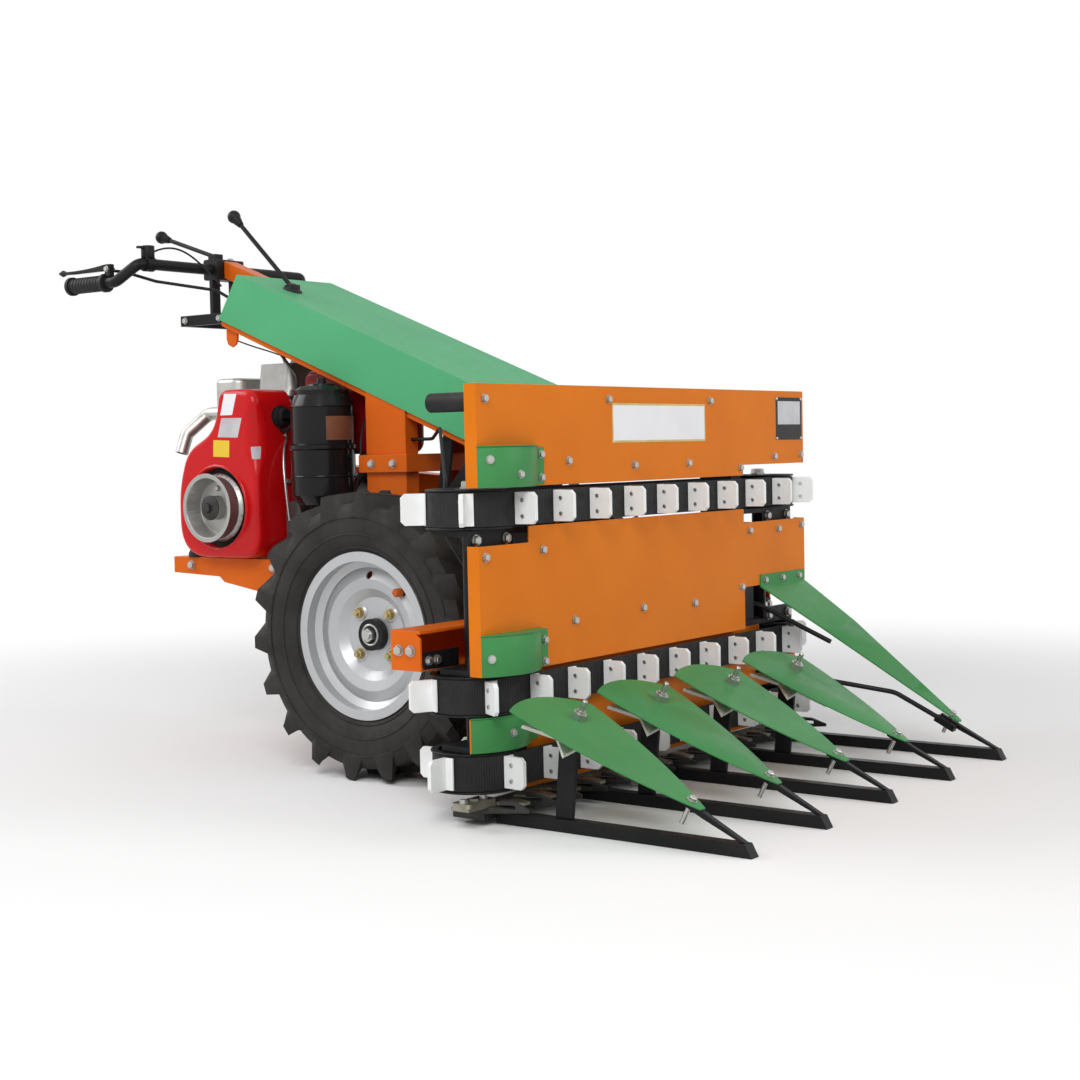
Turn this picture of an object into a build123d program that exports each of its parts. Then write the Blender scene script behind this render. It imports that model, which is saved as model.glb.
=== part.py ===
from build123d import *
import os
from math import atan2, cos, hypot, pi, sin, sqrt

# Walk-behind reaper: a two-wheel tractor with a single-cylinder diesel engine, pushing an
# upright crop header with three lugged conveyor belts, star wheels, dividers and a cutter bar.
# Lengths are in millimetres. X points forward, Y to the machine's left, Z up, the ground is z = 0.
# Places along the machine are measured forward of the wheel axle.

# Overall reach, which sets the axle's place so that the origin is in the middle of the footprint
NOSE_REACH = 980.0
LEVER_REACH = 957.0
AXLE_X = (LEVER_REACH - NOSE_REACH) / 2

# Fits
SEAT_GAP = 0.3
RUN_GAP = 0.05
SHEET = 3.0

# Wheels: tyre for a 12 inch rim
TYRE_R = 287.0
TYRE_Y = 290.0
CARCASS_R = 268.0
CARCASS_HALF = 64.0
LUG_COUNT = 18
LUG_WIDTH = 24.0
LUG_SWEEP = 50.0
RIM_FLANGE_R = 167.0
RIM_SEAT_R = 152.0
RIM_HALF = 48.0
RIM_WALL = 4.0
DISC_HOLE_R = 32.0
VENT_R = 8.0
VENT_OUT = 119.0
VALVE_R = 7.0
VALVE_OUT = 123.0
HUB_FLANGE_R = 72.0
HUB_FLANGE_T = 12.0
HUB_BOSS_OUT = 22.0
AXLE_R = 20.0
AXLE_Z = TYRE_R

# Transmission housing
BOX_REAR = -110.0
BOX_FRONT = 120.0
BOX_HALF = 90.0
BOX_BOTTOM = 190.0
AXLE_TUBE_R = 45.0
AXLE_TUBE_END = 195.0
AXLE_BORE_IN = 115.0

# Chassis rails and engine bed
RAIL_TOP = 422.0
RAIL_REAR = -700.0
RAIL_STEP = -552.0
RAIL_FRONT = 60.0
RAIL_OUT = 200.0
RAIL_FLANGE = 40.0
RAIL_WALL = 6.0
RAIL_END_H = 36.0
RAIL_DEEP_H = 84.0
BED_BAR = 40.0
BED_XS = (-640.0, -380.0)
DECK_REAR = -190.0
DECK_FRONT = 40.0
DECK_T = 10.0

# Engine
CRANK_X = -508.0
CRANK_Z = 535.0
CRANK_R = 12.0
CASE_REAR = -600.0
CASE_FRONT = -330.0
CASE_LEFT = 130.0
CASE_RIGHT = -130.0
CASE_TOP = 600.0
CYL_REAR = -545.0
CYL_FRONT = -405.0
CYL_RIGHT = -115.0
CYL_LEFT = 55.0
CYL_TOP = 705.0
FIN_T = 4.0
FIN_OUT = 12.0
HEAD_TOP = 790.0
COVER_TOP = 850.0
SHROUD_FACE = -240.0
SHROUD_TOP = 790.0
SHROUD_WALL = 4.0
SHROUD_CORNER = 16.0
SHROUD_EDGE = 12.0
RECESS_R = 95.0
RECESS_DEEP = 14.0
SCREEN_SLOTS = 20
SCREEN_SLOT_W = 6.0
OUTPUT_R = 55.0
GEAR_CASE_R = 22.0
GEAR_CASE_H = 66.0
GEAR_CASE_Z = 492.0
GEAR_CASE_OUT = 34.0
GEAR_CASE_STEP = 6.0
LOOP_R = 14.0
LOOP_WIRE_R = 2.5
FILLER_R = 15.0
FILLER_H = 16.0
MUFFLER_X = -612.0
MUFFLER_Y = -55.0
MUFFLER_LONG = 90.0
MUFFLER_WIDE = 110.0
MUFFLER_LOW = 715.0
MUFFLER_HIGH = 822.0
MUFFLER_CORNER = 28.0
MUFFLER_WALL = 4.0
EXHAUST_R = 18.0
PIPE_R = 15.0
PIPE_WALL = 3.0
PIPE_BEND = 22.0
STARTER_R = 75.0
STARTER_OUT = -272.0
STARTER_WALL = 5.0
FILTER_X = -257.0
FILTER_Y = -165.0
FILTER_R = 68.0
FILTER_BOTTOM = 540.0
FILTER_TOP = 790.0
INLET_Y = -112.0
INLET_R = 17.0
TANK_REAR = -392.0
TANK_FRONT = -195.0
TANK_RIGHT = -85.0
TANK_LEFT = 100.0
TANK_BOTTOM = 645.0
TANK_TOP = 832.0
TANK_CORNER = 26.0
TANK_EDGE = 14.0
TANK_CAP_R = 30.0
TANK_CAP_Y = -35.0
TANK_CAP_IN = 60.0
TANK_CAP_H = 24.0
TANK_STAY_YS = (-40.0, 90.0)

# Gear tower above the deck, and the guard over the belt drive on the left
TOWER_X = 20.0
TOWER_LONG = 100.0
TOWER_HALF = 100.0
TOWER_TOP = 560.0
TOWER_EDGE = 12.0
TOWER_ROOM = 4.0
INPUT_Z = 505.0
INPUT_R = 45.0
DRIVE_IN = 150.0
DRIVE_OUT = 212.0
DRIVE_REAR_R = 84.0
DRIVE_FRONT_R = 70.0
DRIVE_EDGE = 8.0
VENT_COUNT = 5
VENT_PITCH = 46.0
VENT_LONG = 60.0
VENT_WIDE = 10.0
HEADER_DRIVE_Z = 304.0
HEADER_DRIVE_R = 24.0
BEVEL_BOX_LONG = 56.0
BEVEL_BOX_HALF = 52.0
BEVEL_BOX_H = 80.0

# Hood and handle column
HOOD_HALF = 150.0
HOOD_FRONT = 300.0
HOOD_RAKE = 62.0
HOOD_REF_X = 80.0
HOOD_REF_Z = 805.0
HOOD_SLOPE = 0.402
HOOD_SIDE = 120.0
BEAM_SIZE = 40.0
BEAM_WALL = 4.0
BEAM_DROP = 18.0
BEAM_FRONT = -45.0
CHORD_OUT = 142.0
CHORD_SIZE = 30.0
CHORD_DROP = 104.0
POST_REAR = -150.0
POST_FRONT = -40.0
POST_T = 40.0
COLLAR_LOW = 606.0
COLLAR_HIGH = 643.0

# Handlebars: the grips' rear ends follow the hand levers, and the head, column and hood the grips
LEVER_PAST_GRIP = 35.0
LEVER_CLAMP = 18.0
LEVER_W = 14.0
GRIP_Y = 285.0
GRIP_DROP = 40.0
GRIP_LENGTH = 125.0
GRIP_R = 17.0
GRIP_LIP = 4.0
GRIP_REAR = LEVER_PAST_GRIP - LEVER_REACH
BAR_R = 12.5
BAR_BEND = 22.0
BAR_SWEEP = 51.0
BAR_LEVEL = 30.0
HEAD_LONG = 46.0
HEAD_H = 48.0
HEAD_HALF = 42.0
HEAD_REAR = GRIP_REAR + GRIP_LENGTH + BAR_SWEEP
BEAM_REAR = HEAD_REAR + HEAD_LONG
HOOD_SETBACK = 178.0
HOOD_REAR = BEAM_REAR + HOOD_SETBACK
KNOB_Y = -228.0
KNOB_R = 15.0
KNOB_H = 28.0
HANGER_T = 12.0
HANGER_W = 24.0
HANGER_DROP = 112.0

# Header frame
PANEL_FACE = 492.0
HEADER_HALF = 570.0
PANEL_TOP = 762.0
TOP_PANEL_LOW = 584.0
TOP_PANEL_STEP = 606.0
LOW_PANEL_HIGH = 514.0
LOW_PANEL_TAB = 485.0
LOW_PANEL_LOW = 262.0
FAR_TAB_LOW = 350.0
STEP_Y = 310.0
NEAR_TAB_Y = -430.0
PANEL_RETURN = 26.0
CROSSBEAM_REAR = 318.0
CROSSBEAM_FRONT = 385.0
CROSSBEAM_LOW = 270.0
CROSSBEAM_HIGH = 340.0
CROSSBEAM_HALF = 605.0
BEAM_END_T = 6.0
BEAM_END_CUT = 14.0
UPRIGHT_Y = 330.0
UPRIGHT_W = 40.0
UPRIGHT_FRONT = 462.0
UPRIGHT_LOW = 22.0
UPRIGHT_TOE = 424.0
SKIRT_LOW = 46.0
GUARD_BULGE = 34.0
GUARD_H = 70.0
GUARD_W = 168.0
GUARD_GAP = 7.0
ARM_Y = 70.0

# Conveyor belts: two drum stacks, three belts with upright lugs
DRUM_X = 416.0
DRUM_Y = 500.0
DRUM_R = 70.0
DRUM_WALL = 6.0
DRUM_WEB = 8.0
DRUM_HUB_R = 26.0
DRUM_LIP = 4.0
DRUM_LIP_OUT = 8.0
DRUM_LIP_GAP = 1.0
BRACKET_T = 10.0
BRACKET_W = 46.0
BRACKET_LIP = 34.0
BRACKET_LIP_T = 8.0
BRACKET_LIP_HALF = 62.0
BELT_T = 5.0
BELT_H = 60.0
BELT_ZS = {"top": 547.0, "middle": 225.0, "lower": 92.0}
DRUM_SHAFT_R = 14.0
LUG_PLATES = 22
PLATE_OUT = 45.0
PLATE_H = 56.0
PLATE_T = 8.0
PLATE_CORNER = 7.0
PLATE_FOOT = 14.0
PLATE_FOOT_T = 4.0
PLATE_START = 0.35
PLATE_STAGGER = 0.3

# Dividers: five shoes, four of them with a leaf and a star wheel
PITCH = 250.0
SHOE_H = 22.0
SHOE_W = 24.0
LEAF_T = 3.0
LEAF_X = 640.0
LEAF_Z = 192.0
LEAF_TIP_X = 884.0
LEAF_TIP_Z = 66.0
LEAF_BACK = 58.0
LEAF_NEAR = 120.0
LEAF_FAR = 76.0
LEAF_TIP_HALF = 7.0
STAR_R = 95.0
STAR_ROOT = 0.45
STAR_POINTS = 6
STAR_T = 6.0
STAR_HUB_R = 24.0
STAR_HUB_H = 20.0
STAR_PIN_R = 8.0
STAR_SPACER = 18.0
PIN_FOOT_R = 18.0
PIN_FOOT_T = 5.0
END_GAP = 0.5
FOOT_X = 610.0
FOOT_W = 36.0
FOOT_T = 8.0
NOSE_ROD_R = 6.0

# End divider and its guide rods
DIVIDER_IN = 198.0
DIVIDER_OUT = 8.0
DIVIDER_T = 4.0
DIVIDER_FLANGE = 22.0
DIVIDER_NECK = 0.36
DIVIDER_LIFT = 16.0
DIVIDER_TIP_HALF = 8.0
GUIDE_R = 5.0
GUIDE_BEND = 60.0
CLAMP_LONG = 46.0
CLAMP_SIZE = 16.0

# Control cables
CABLE_R = 3.5
CABLE_BEND = 30.0
LINK_W = 24.0
LINK_T = 8.0

# Cutter bar and knife
BAR_REAR = 400.0
BAR_FRONT = 470.0
BAR_LOW = 10.0
BAR_HIGH = 22.0
BAR_HALF = 545.0
FINGER_PITCH = 76.0
FINGER_COUNT = 15
FINGER_TIP = 560.0
FINGER_HIGH = 34.0
FINGER_W = 28.0
FINGER_LIP = 6.0
FINGER_LIP_GAP = 1.4
KNIFE_GAP = 0.6
KNIFE_T = 5.0
KNIFE_TIP = 525.0
KNIFE_BAR = 20.0
KNIFE_HEAD_LONG = 78.0
KNIFE_HEAD_OUT = 53.0
KNIFE_HEAD_T = 8.0
KNIFE_BOLT_R = 8.0
KNIFE_BOLT_H = 3.0


def side(y):
    """Upright plane along the machine: local x forward of the axle, local y up, extrudes to the right."""
    return Plane(origin=(AXLE_X, y, 0), x_dir=(1, 0, 0), z_dir=(0, -1, 0))


def across(x):
    """Upright plane across the machine: local x to the left, local y up, extrudes forward."""
    return Plane(origin=(AXLE_X + x, 0, 0), x_dir=(0, 1, 0), z_dir=(1, 0, 0))


def level(z):
    """Level plane: local x forward of the axle, local y to the left, extrudes upward."""
    return Plane(origin=(AXLE_X, 0, z), x_dir=(1, 0, 0), z_dir=(0, 0, 1))


def hood_z(x):
    """Height of the hood's top sheet at x."""
    return HOOD_REF_Z + HOOD_SLOPE * (HOOD_REF_X - x)


def place(x, y, z):
    """Point given forward of the axle, to the left and up."""
    return (AXLE_X + x, y, z)


def tube(points, radius, bend, mode=Mode.ADD):
    """Round rod along straight runs with tangent bends, joined to or cut from the piece that is being made."""
    with BuildLine() as run:
        FilletPolyline(*[place(*point) for point in points], radius=bend)
    with BuildSketch(Plane(origin=run.line @ 0, z_dir=run.line % 0)) as section:
        Circle(radius)
    sweep(section.sketch, path=run.line, mode=mode)


def finish(piece, label):
    piece.part.label = label
    export_step(piece.part, f"parts/{label}.step")


AXLE_LINE = Axis((AXLE_X, 0, AXLE_Z), (0, 1, 0))


# Right wheel: points are (distance outward from the tyre's middle, radius)
def wheel_points(points):
    return [(-(TYRE_Y + w), AXLE_Z + r) for w, r in points]


BEAD_HALF = RIM_HALF - RIM_WALL - SEAT_GAP
BEAD_R = RIM_SEAT_R + SEAT_GAP
tyre_half = [
    (BEAD_HALF, BEAD_R),
    (BEAD_HALF, RIM_FLANGE_R + SEAT_GAP),
    (CARCASS_HALF - 6, RIM_FLANGE_R + 22),
    (CARCASS_HALF, RIM_FLANGE_R + 48),
    (CARCASS_HALF - 1, CARCASS_R - 24),
    (CARCASS_HALF - 10, CARCASS_R - 6),
]
tyre_ring = tyre_half + [(0, CARCASS_R)] + [(-w, r) for w, r in reversed(tyre_half)]
lug_root = CARCASS_R - 26
lug_top = sqrt(TYRE_R**2 - (LUG_SWEEP / 2 + LUG_WIDTH / 2) ** 2)

with BuildPart() as tyre_right:
    with BuildSketch(across(0)):
        Polygon(*wheel_points(tyre_ring), align=None)
    revolve(axis=AXLE_LINE)
    for half in (-1, 1):
        for n in range(LUG_COUNT):
            turn = 2 * pi * (n + (half + 1) / 4) / LUG_COUNT
            out = Vector(cos(turn), 0, sin(turn))
            origin = Vector(AXLE_X, -TYRE_Y, AXLE_Z) + out * lug_root
            with BuildSketch(Plane(origin=origin, x_dir=(0, half, 0), z_dir=out)):
                lead = -half * LUG_SWEEP / 2
                Polygon(
                    (3, lead - LUG_WIDTH / 2),
                    (3, lead + LUG_WIDTH / 2),
                    (CARCASS_HALF - 1, -lead + LUG_WIDTH / 2),
                    (CARCASS_HALF - 1, -lead - LUG_WIDTH / 2),
                    align=None,
                )
    extrude(amount=lug_top - lug_root)
finish(tyre_right, "tyre_right")

rim_outer = [(RIM_HALF, RIM_FLANGE_R), (RIM_HALF - RIM_WALL, RIM_FLANGE_R)]
rim_outer += [(RIM_HALF - RIM_WALL, RIM_SEAT_R), (24, RIM_SEAT_R), (16, RIM_SEAT_R - 14)]
rim_inner = [(18, RIM_SEAT_R - 14 - RIM_WALL), (26, RIM_SEAT_R - RIM_WALL), (RIM_HALF, RIM_SEAT_R - RIM_WALL)]
rim_ring = rim_outer + [(-w, r) for w, r in reversed(rim_outer)]
rim_ring += [(-w, r) for w, r in reversed(rim_inner)] + rim_inner
disc = [(0, DISC_HOLE_R), (0, 74), (14, 92), (20, 112), (8, RIM_SEAT_R - 14 - RIM_WALL + 1)]
disc_strip = disc + [(w + RIM_WALL, r) for w, r in reversed(disc)]

with BuildPart() as rim_right:
    with BuildSketch(across(0)):
        Polygon(*wheel_points(rim_ring), align=None)
        Polygon(*wheel_points(disc_strip), align=None)
    revolve(axis=AXLE_LINE)
    with BuildSketch(side(-TYRE_Y)):
        with Locations((0, AXLE_Z + VENT_OUT)):
            Circle(VENT_R)
        with Locations((VALVE_OUT * cos(pi / 4), AXLE_Z + VALVE_OUT * sin(pi / 4))):
            Circle(VALVE_R)
    extrude(amount=RIM_HALF, mode=Mode.SUBTRACT)
finish(rim_right, "rim_right")

hub_steps = [
    (AXLE_BORE_IN + 3 - TYRE_Y, 0),
    (AXLE_BORE_IN + 3 - TYRE_Y, AXLE_R),
    (-HUB_FLANGE_T, AXLE_R),
    (-HUB_FLANGE_T, HUB_FLANGE_R),
    (0, HUB_FLANGE_R),
    (0, DISC_HOLE_R - SEAT_GAP),
    (HUB_BOSS_OUT, DISC_HOLE_R - SEAT_GAP),
    (HUB_BOSS_OUT, 0),
]
with BuildPart() as hub_right:
    with BuildSketch(across(0)):
        Polygon(*wheel_points(hub_steps), align=None)
    revolve(axis=AXLE_LINE)
finish(hub_right, "hub_right")

for name, piece in (("tyre", tyre_right), ("rim", rim_right), ("hub", hub_right)):
    with BuildPart() as left_piece:
        mirror(piece.part, about=Plane.XZ)
    finish(left_piece, f"{name}_left")

# Transmission housing with its two axle tubes
with BuildPart() as gearbox:
    with BuildSketch(side(BOX_HALF)):
        Polygon(
            (BOX_REAR, BOX_BOTTOM + 40),
            (BOX_REAR + 40, BOX_BOTTOM),
            (BOX_FRONT - 30, BOX_BOTTOM),
            (BOX_FRONT, BOX_BOTTOM + 30),
            (BOX_FRONT, RAIL_TOP - 40),
            (BOX_FRONT - 30, RAIL_TOP),
            (BOX_REAR, RAIL_TOP),
            align=None,
        )
    extrude(amount=2 * BOX_HALF)
    with BuildSketch(side(AXLE_TUBE_END)):
        with Locations((0, AXLE_Z)):
            Circle(AXLE_TUBE_R)
    extrude(amount=2 * AXLE_TUBE_END)
    for end in (-1, 1):
        with BuildSketch(side(end * AXLE_TUBE_END)):
            with Locations((0, AXLE_Z)):
                Circle(AXLE_R + RUN_GAP)
        extrude(amount=end * (AXLE_TUBE_END - AXLE_BORE_IN), mode=Mode.SUBTRACT)
    with BuildSketch(level(RAIL_TOP)):
        with Locations((TOWER_X, 0)):
            RectangleRounded(TOWER_LONG, 2 * TOWER_HALF, TOWER_EDGE)
    extrude(amount=TOWER_TOP - RAIL_TOP)
    chamfer(gearbox.faces().sort_by(Axis.Z)[-1].edges(), TOWER_EDGE / 2)
    with BuildSketch(side(DRIVE_IN - SEAT_GAP)):
        with Locations((TOWER_X, INPUT_Z)):
            Circle(INPUT_R)
    extrude(amount=DRIVE_IN - SEAT_GAP - TOWER_HALF)
    bevel_box_rear = CROSSBEAM_REAR - SEAT_GAP - BEVEL_BOX_LONG
    with BuildSketch(across(BOX_FRONT)):
        with Locations((0, HEADER_DRIVE_Z)):
            Circle(HEADER_DRIVE_R)
    extrude(amount=bevel_box_rear - BOX_FRONT)
    with BuildSketch(across(bevel_box_rear)):
        with Locations((0, HEADER_DRIVE_Z)):
            RectangleRounded(2 * BEVEL_BOX_HALF, BEVEL_BOX_H, TOWER_EDGE)
    extrude(amount=BEVEL_BOX_LONG)
finish(gearbox, "gearbox")

# Chassis rails: channels open inward, shallow under the rear and deep ahead of the step
rail_outline = [
    (RAIL_REAR, RAIL_TOP),
    (RAIL_REAR, RAIL_TOP - RAIL_END_H),
    (RAIL_STEP, RAIL_TOP - RAIL_END_H - 6),
    (RAIL_STEP + 15, RAIL_TOP - RAIL_DEEP_H + 30),
    (RAIL_STEP + 200, RAIL_TOP - RAIL_DEEP_H),
    (RAIL_FRONT, RAIL_TOP - RAIL_DEEP_H),
    (RAIL_FRONT, RAIL_TOP),
]
with BuildPart() as chassis_rails:
    for hand in (-1, 1):
        with BuildSketch(side(hand * RAIL_OUT)):
            Polygon(*rail_outline, align=None)
        extrude(amount=hand * RAIL_FLANGE)
        with BuildSketch(side(hand * (RAIL_OUT - RAIL_WALL))):
            Polygon(*rail_outline, align=None)
            offset(amount=-RAIL_WALL, mode=Mode.REPLACE)
        extrude(amount=hand * RAIL_FLANGE, mode=Mode.SUBTRACT)
finish(chassis_rails, "chassis_rails")

with BuildPart() as engine_bed:
    bed_half = RAIL_OUT - RAIL_FLANGE
    for x in BED_XS:
        with BuildSketch(side(bed_half)):
            with Locations((x, RAIL_TOP - RAIL_END_H / 2)):
                Rectangle(BED_BAR, RAIL_END_H)
        extrude(amount=2 * bed_half)
finish(engine_bed, "engine_bed")

with BuildPart() as deck:
    with BuildSketch(level(RAIL_TOP)):
        with Locations(((DECK_REAR + DECK_FRONT) / 2, 0)):
            Rectangle(DECK_FRONT - DECK_REAR, 2 * RAIL_OUT)
        with Locations((TOWER_X, 0)):
            Rectangle(TOWER_LONG + TOWER_ROOM, 2 * (TOWER_HALF + TOWER_ROOM), mode=Mode.SUBTRACT)
    extrude(amount=DECK_T)
finish(deck, "deck")

# Engine block: crankcase on a base flange, finned cylinder, crank stub towards the starter
with BuildPart() as engine_block:
    with BuildSketch(level(RAIL_TOP)):
        with Locations(((BED_XS[0] + BED_XS[1]) / 2, 0)):
            Rectangle(BED_XS[1] - BED_XS[0] + BED_BAR, CASE_LEFT - CASE_RIGHT)
    extrude(amount=14)
    with BuildSketch(side(CASE_LEFT)):
        Polygon(
            (CASE_REAR, RAIL_TOP),
            (CASE_FRONT, RAIL_TOP),
            (CASE_FRONT, CASE_TOP - 50),
            (CASE_FRONT - 50, CASE_TOP),
            (CASE_REAR + 40, CASE_TOP),
            (CASE_REAR, CASE_TOP - 40),
            align=None,
        )
    extrude(amount=CASE_LEFT - CASE_RIGHT)
    cyl_centre = ((CYL_REAR + CYL_FRONT) / 2, (CYL_LEFT + CYL_RIGHT) / 2)
    cyl_long = CYL_FRONT - CYL_REAR
    cyl_wide = CYL_LEFT - CYL_RIGHT
    with BuildSketch(level(CASE_TOP)):
        with Locations(cyl_centre):
            RectangleRounded(cyl_long - 2 * FIN_OUT, cyl_wide - 2 * FIN_OUT, 30)
    extrude(amount=CYL_TOP - CASE_TOP)
    fin_step = 3 * FIN_T
    for n in range(1, int((CYL_TOP - CASE_TOP) / fin_step)):
        with BuildSketch(level(CASE_TOP + n * fin_step)):
            with Locations(cyl_centre):
                RectangleRounded(cyl_long, cyl_wide, 20)
    extrude(amount=FIN_T)
    with BuildSketch(side(CASE_RIGHT)):
        with Locations((CRANK_X, CRANK_Z)):
            Circle(CRANK_R)
    extrude(amount=CASE_RIGHT - STARTER_OUT - 12)
    with BuildSketch(level(CASE_TOP - 60)):
        for y in TANK_STAY_YS:
            with Locations((CASE_FRONT - 30, y)):
                Rectangle(30, 16)
    extrude(amount=TANK_BOTTOM - CASE_TOP + 60)
    with BuildSketch(side(DRIVE_IN - SEAT_GAP)):
        with Locations((CRANK_X, CRANK_Z)):
            Circle(OUTPUT_R)
    extrude(amount=DRIVE_IN - SEAT_GAP - CASE_LEFT)
    with BuildSketch(side(CASE_RIGHT)):
        with Locations((CASE_FRONT - GEAR_CASE_R, GEAR_CASE_Z)):
            SlotOverall(2 * GEAR_CASE_R + GEAR_CASE_H, 2 * GEAR_CASE_R, rotation=90)
    extrude(amount=GEAR_CASE_OUT)
    with BuildSketch(side(CASE_RIGHT - GEAR_CASE_OUT)):
        with Locations((CASE_FRONT - GEAR_CASE_R, GEAR_CASE_Z)):
            Circle(GEAR_CASE_R - GEAR_CASE_STEP)
    extrude(amount=GEAR_CASE_STEP)
finish(engine_block, "engine_block")

# Cylinder head: two fins under a rounded rocker cover
with BuildPart() as cylinder_head:
    with BuildSketch(level(CYL_TOP)):
        with Locations(cyl_centre):
            RectangleRounded(cyl_long - FIN_OUT, cyl_wide - FIN_OUT, 12)
    extrude(amount=HEAD_TOP - CYL_TOP)
    for n in range(1, 6):
        with BuildSketch(level(CYL_TOP + n * 14)):
            with Locations(cyl_centre):
                RectangleRounded(cyl_long + FIN_OUT, cyl_wide + FIN_OUT, 12)
    extrude(amount=FIN_T)
    with BuildSketch(level(HEAD_TOP)):
        with Locations(cyl_centre):
            RectangleRounded(cyl_long - 30, cyl_wide - 40, 20)
    extrude(amount=COVER_TOP - HEAD_TOP, taper=6)
    with BuildSketch(level(COVER_TOP)):
        with Locations((cyl_centre[0] + FILLER_R, cyl_centre[1])):
            RegularPolygon(FILLER_R, 8)
    extrude(amount=FILLER_H)
    with Locations(Plane(origin=place(cyl_centre[0] - FILLER_R, cyl_centre[1], COVER_TOP + LOOP_R), z_dir=(0, 1, 0))):
        Torus(LOOP_R, LOOP_WIRE_R)
finish(cylinder_head, "cylinder_head")

# Fan shroud: pressed shell with a broad round foot, a narrow neck and a sunk ring for the starter
SHROUD_FRONT_HIGH = CRANK_X + 122
SHROUD_FRONT_LOW = CRANK_X + 128
shroud_waist = CRANK_Z - 15
shroud_outline = [
    (CRANK_X + 10, SHROUD_TOP),
    (CRANK_X - 8, SHROUD_TOP - 88),
    (CRANK_X - 92, SHROUD_TOP - 136),
    (CRANK_X - 125, SHROUD_TOP - 200),
    (CRANK_X - 127, CRANK_Z - 35),
    (CRANK_X - 95, CRANK_Z - 88),
    (CRANK_X - 52, RAIL_TOP + 18),
    (CRANK_X + 68, RAIL_TOP + 18),
    (CRANK_X + 118, CRANK_Z - 75),
    (SHROUD_FRONT_LOW, shroud_waist),
    (SHROUD_FRONT_HIGH, SHROUD_TOP),
]


def shroud_flank(z):
    """Place of the shroud's front flank at height z."""
    share = (z - shroud_waist) / (SHROUD_TOP - shroud_waist)
    return SHROUD_FRONT_LOW + share * (SHROUD_FRONT_HIGH - SHROUD_FRONT_LOW)


shroud_back = CASE_RIGHT - SEAT_GAP
recess_floor = SHROUD_FACE + RECESS_DEEP
with BuildPart() as shroud:
    with BuildSketch(side(shroud_back)) as shroud_face:
        Polygon(*shroud_outline, align=None)
        fillet(shroud_face.vertices(), SHROUD_CORNER)
    extrude(amount=shroud_back - SHROUD_FACE)
    fillet(shroud.faces().sort_by(Axis.Y)[0].edges(), SHROUD_EDGE)
    with BuildSketch(side(shroud_back)) as shroud_hollow:
        Polygon(*shroud_outline, align=None)
        fillet(shroud_hollow.vertices(), SHROUD_CORNER)
        offset(amount=-SHROUD_WALL, mode=Mode.REPLACE)
    extrude(amount=shroud_back - SHROUD_FACE - SHROUD_WALL, mode=Mode.SUBTRACT)
    with BuildSketch(side(recess_floor + SHROUD_WALL)):
        with Locations((CRANK_X, CRANK_Z)):
            Circle(RECESS_R + SHROUD_WALL)
    extrude(amount=RECESS_DEEP + SHROUD_WALL)
    with BuildSketch(side(recess_floor)):
        with Locations((CRANK_X, CRANK_Z)):
            Circle(RECESS_R)
    extrude(amount=RECESS_DEEP, mode=Mode.SUBTRACT)
    with BuildSketch(side(CASE_RIGHT)):
        with Locations((CRANK_X, CRANK_Z)):
            Circle(CRANK_R + SHROUD_WALL)
            with PolarLocations((RECESS_R + STARTER_R) / 2, SCREEN_SLOTS):
                Rectangle(RECESS_R - STARTER_R - SHROUD_WALL, SCREEN_SLOT_W)
    extrude(amount=CASE_RIGHT - SHROUD_FACE, mode=Mode.SUBTRACT)
finish(shroud, "engine_shroud")

# Rope-start pulley: a cup that turns on the crank stub
starter_in = SHROUD_FACE + RECESS_DEEP - 6
starter_cup = [
    (starter_in, CRANK_R + RUN_GAP),
    (starter_in, STARTER_R),
    (starter_in - 8, STARTER_R - 8),
    (STARTER_OUT + 8, STARTER_R - 8),
    (STARTER_OUT, STARTER_R),
    (STARTER_OUT, STARTER_R - 2 * STARTER_WALL),
    (starter_in - STARTER_WALL, STARTER_R - 14 - STARTER_WALL),
    (starter_in - STARTER_WALL, CRANK_R + 14),
    (STARTER_OUT + 12, CRANK_R + 14),
    (STARTER_OUT + 12, CRANK_R + RUN_GAP),
]
with BuildPart() as starter_pulley:
    with BuildSketch(across(CRANK_X)):
        Polygon(*[(y, CRANK_Z + r) for y, r in starter_cup], align=None)
    revolve(axis=Axis((AXLE_X + CRANK_X, 0, CRANK_Z), (0, 1, 0)))
finish(starter_pulley, "starter_pulley")

# Air filter canister with a pressed seam, and its inlet stub to the cylinder head
filter_profile = [
    (0, FILTER_BOTTOM),
    (FILTER_R - 18, FILTER_BOTTOM),
    (FILTER_R, FILTER_BOTTOM + 20),
    (FILTER_R, 655),
    (FILTER_R + 4, 658),
    (FILTER_R + 4, 666),
    (FILTER_R, 669),
    (FILTER_R, FILTER_TOP - 40),
    (FILTER_R - 10, FILTER_TOP - 18),
    (FILTER_R - 10, FILTER_TOP - 8),
    (FILTER_R - 22, FILTER_TOP),
    (0, FILTER_TOP),
]
with BuildPart() as air_filter:
    with BuildSketch(side(FILTER_Y)):
        Polygon(*[(FILTER_X + r, z) for r, z in filter_profile], align=None)
    revolve(axis=Axis((AXLE_X + FILTER_X, FILTER_Y, 0), (0, 0, 1)))
    with BuildSketch(across(CYL_FRONT + FIN_OUT / 2)):
        with Locations((INLET_Y, HEAD_TOP - 55)):
            Circle(INLET_R)
    extrude(amount=FILTER_X - 20 - (CYL_FRONT + FIN_OUT / 2))
finish(air_filter, "air_filter")

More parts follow.
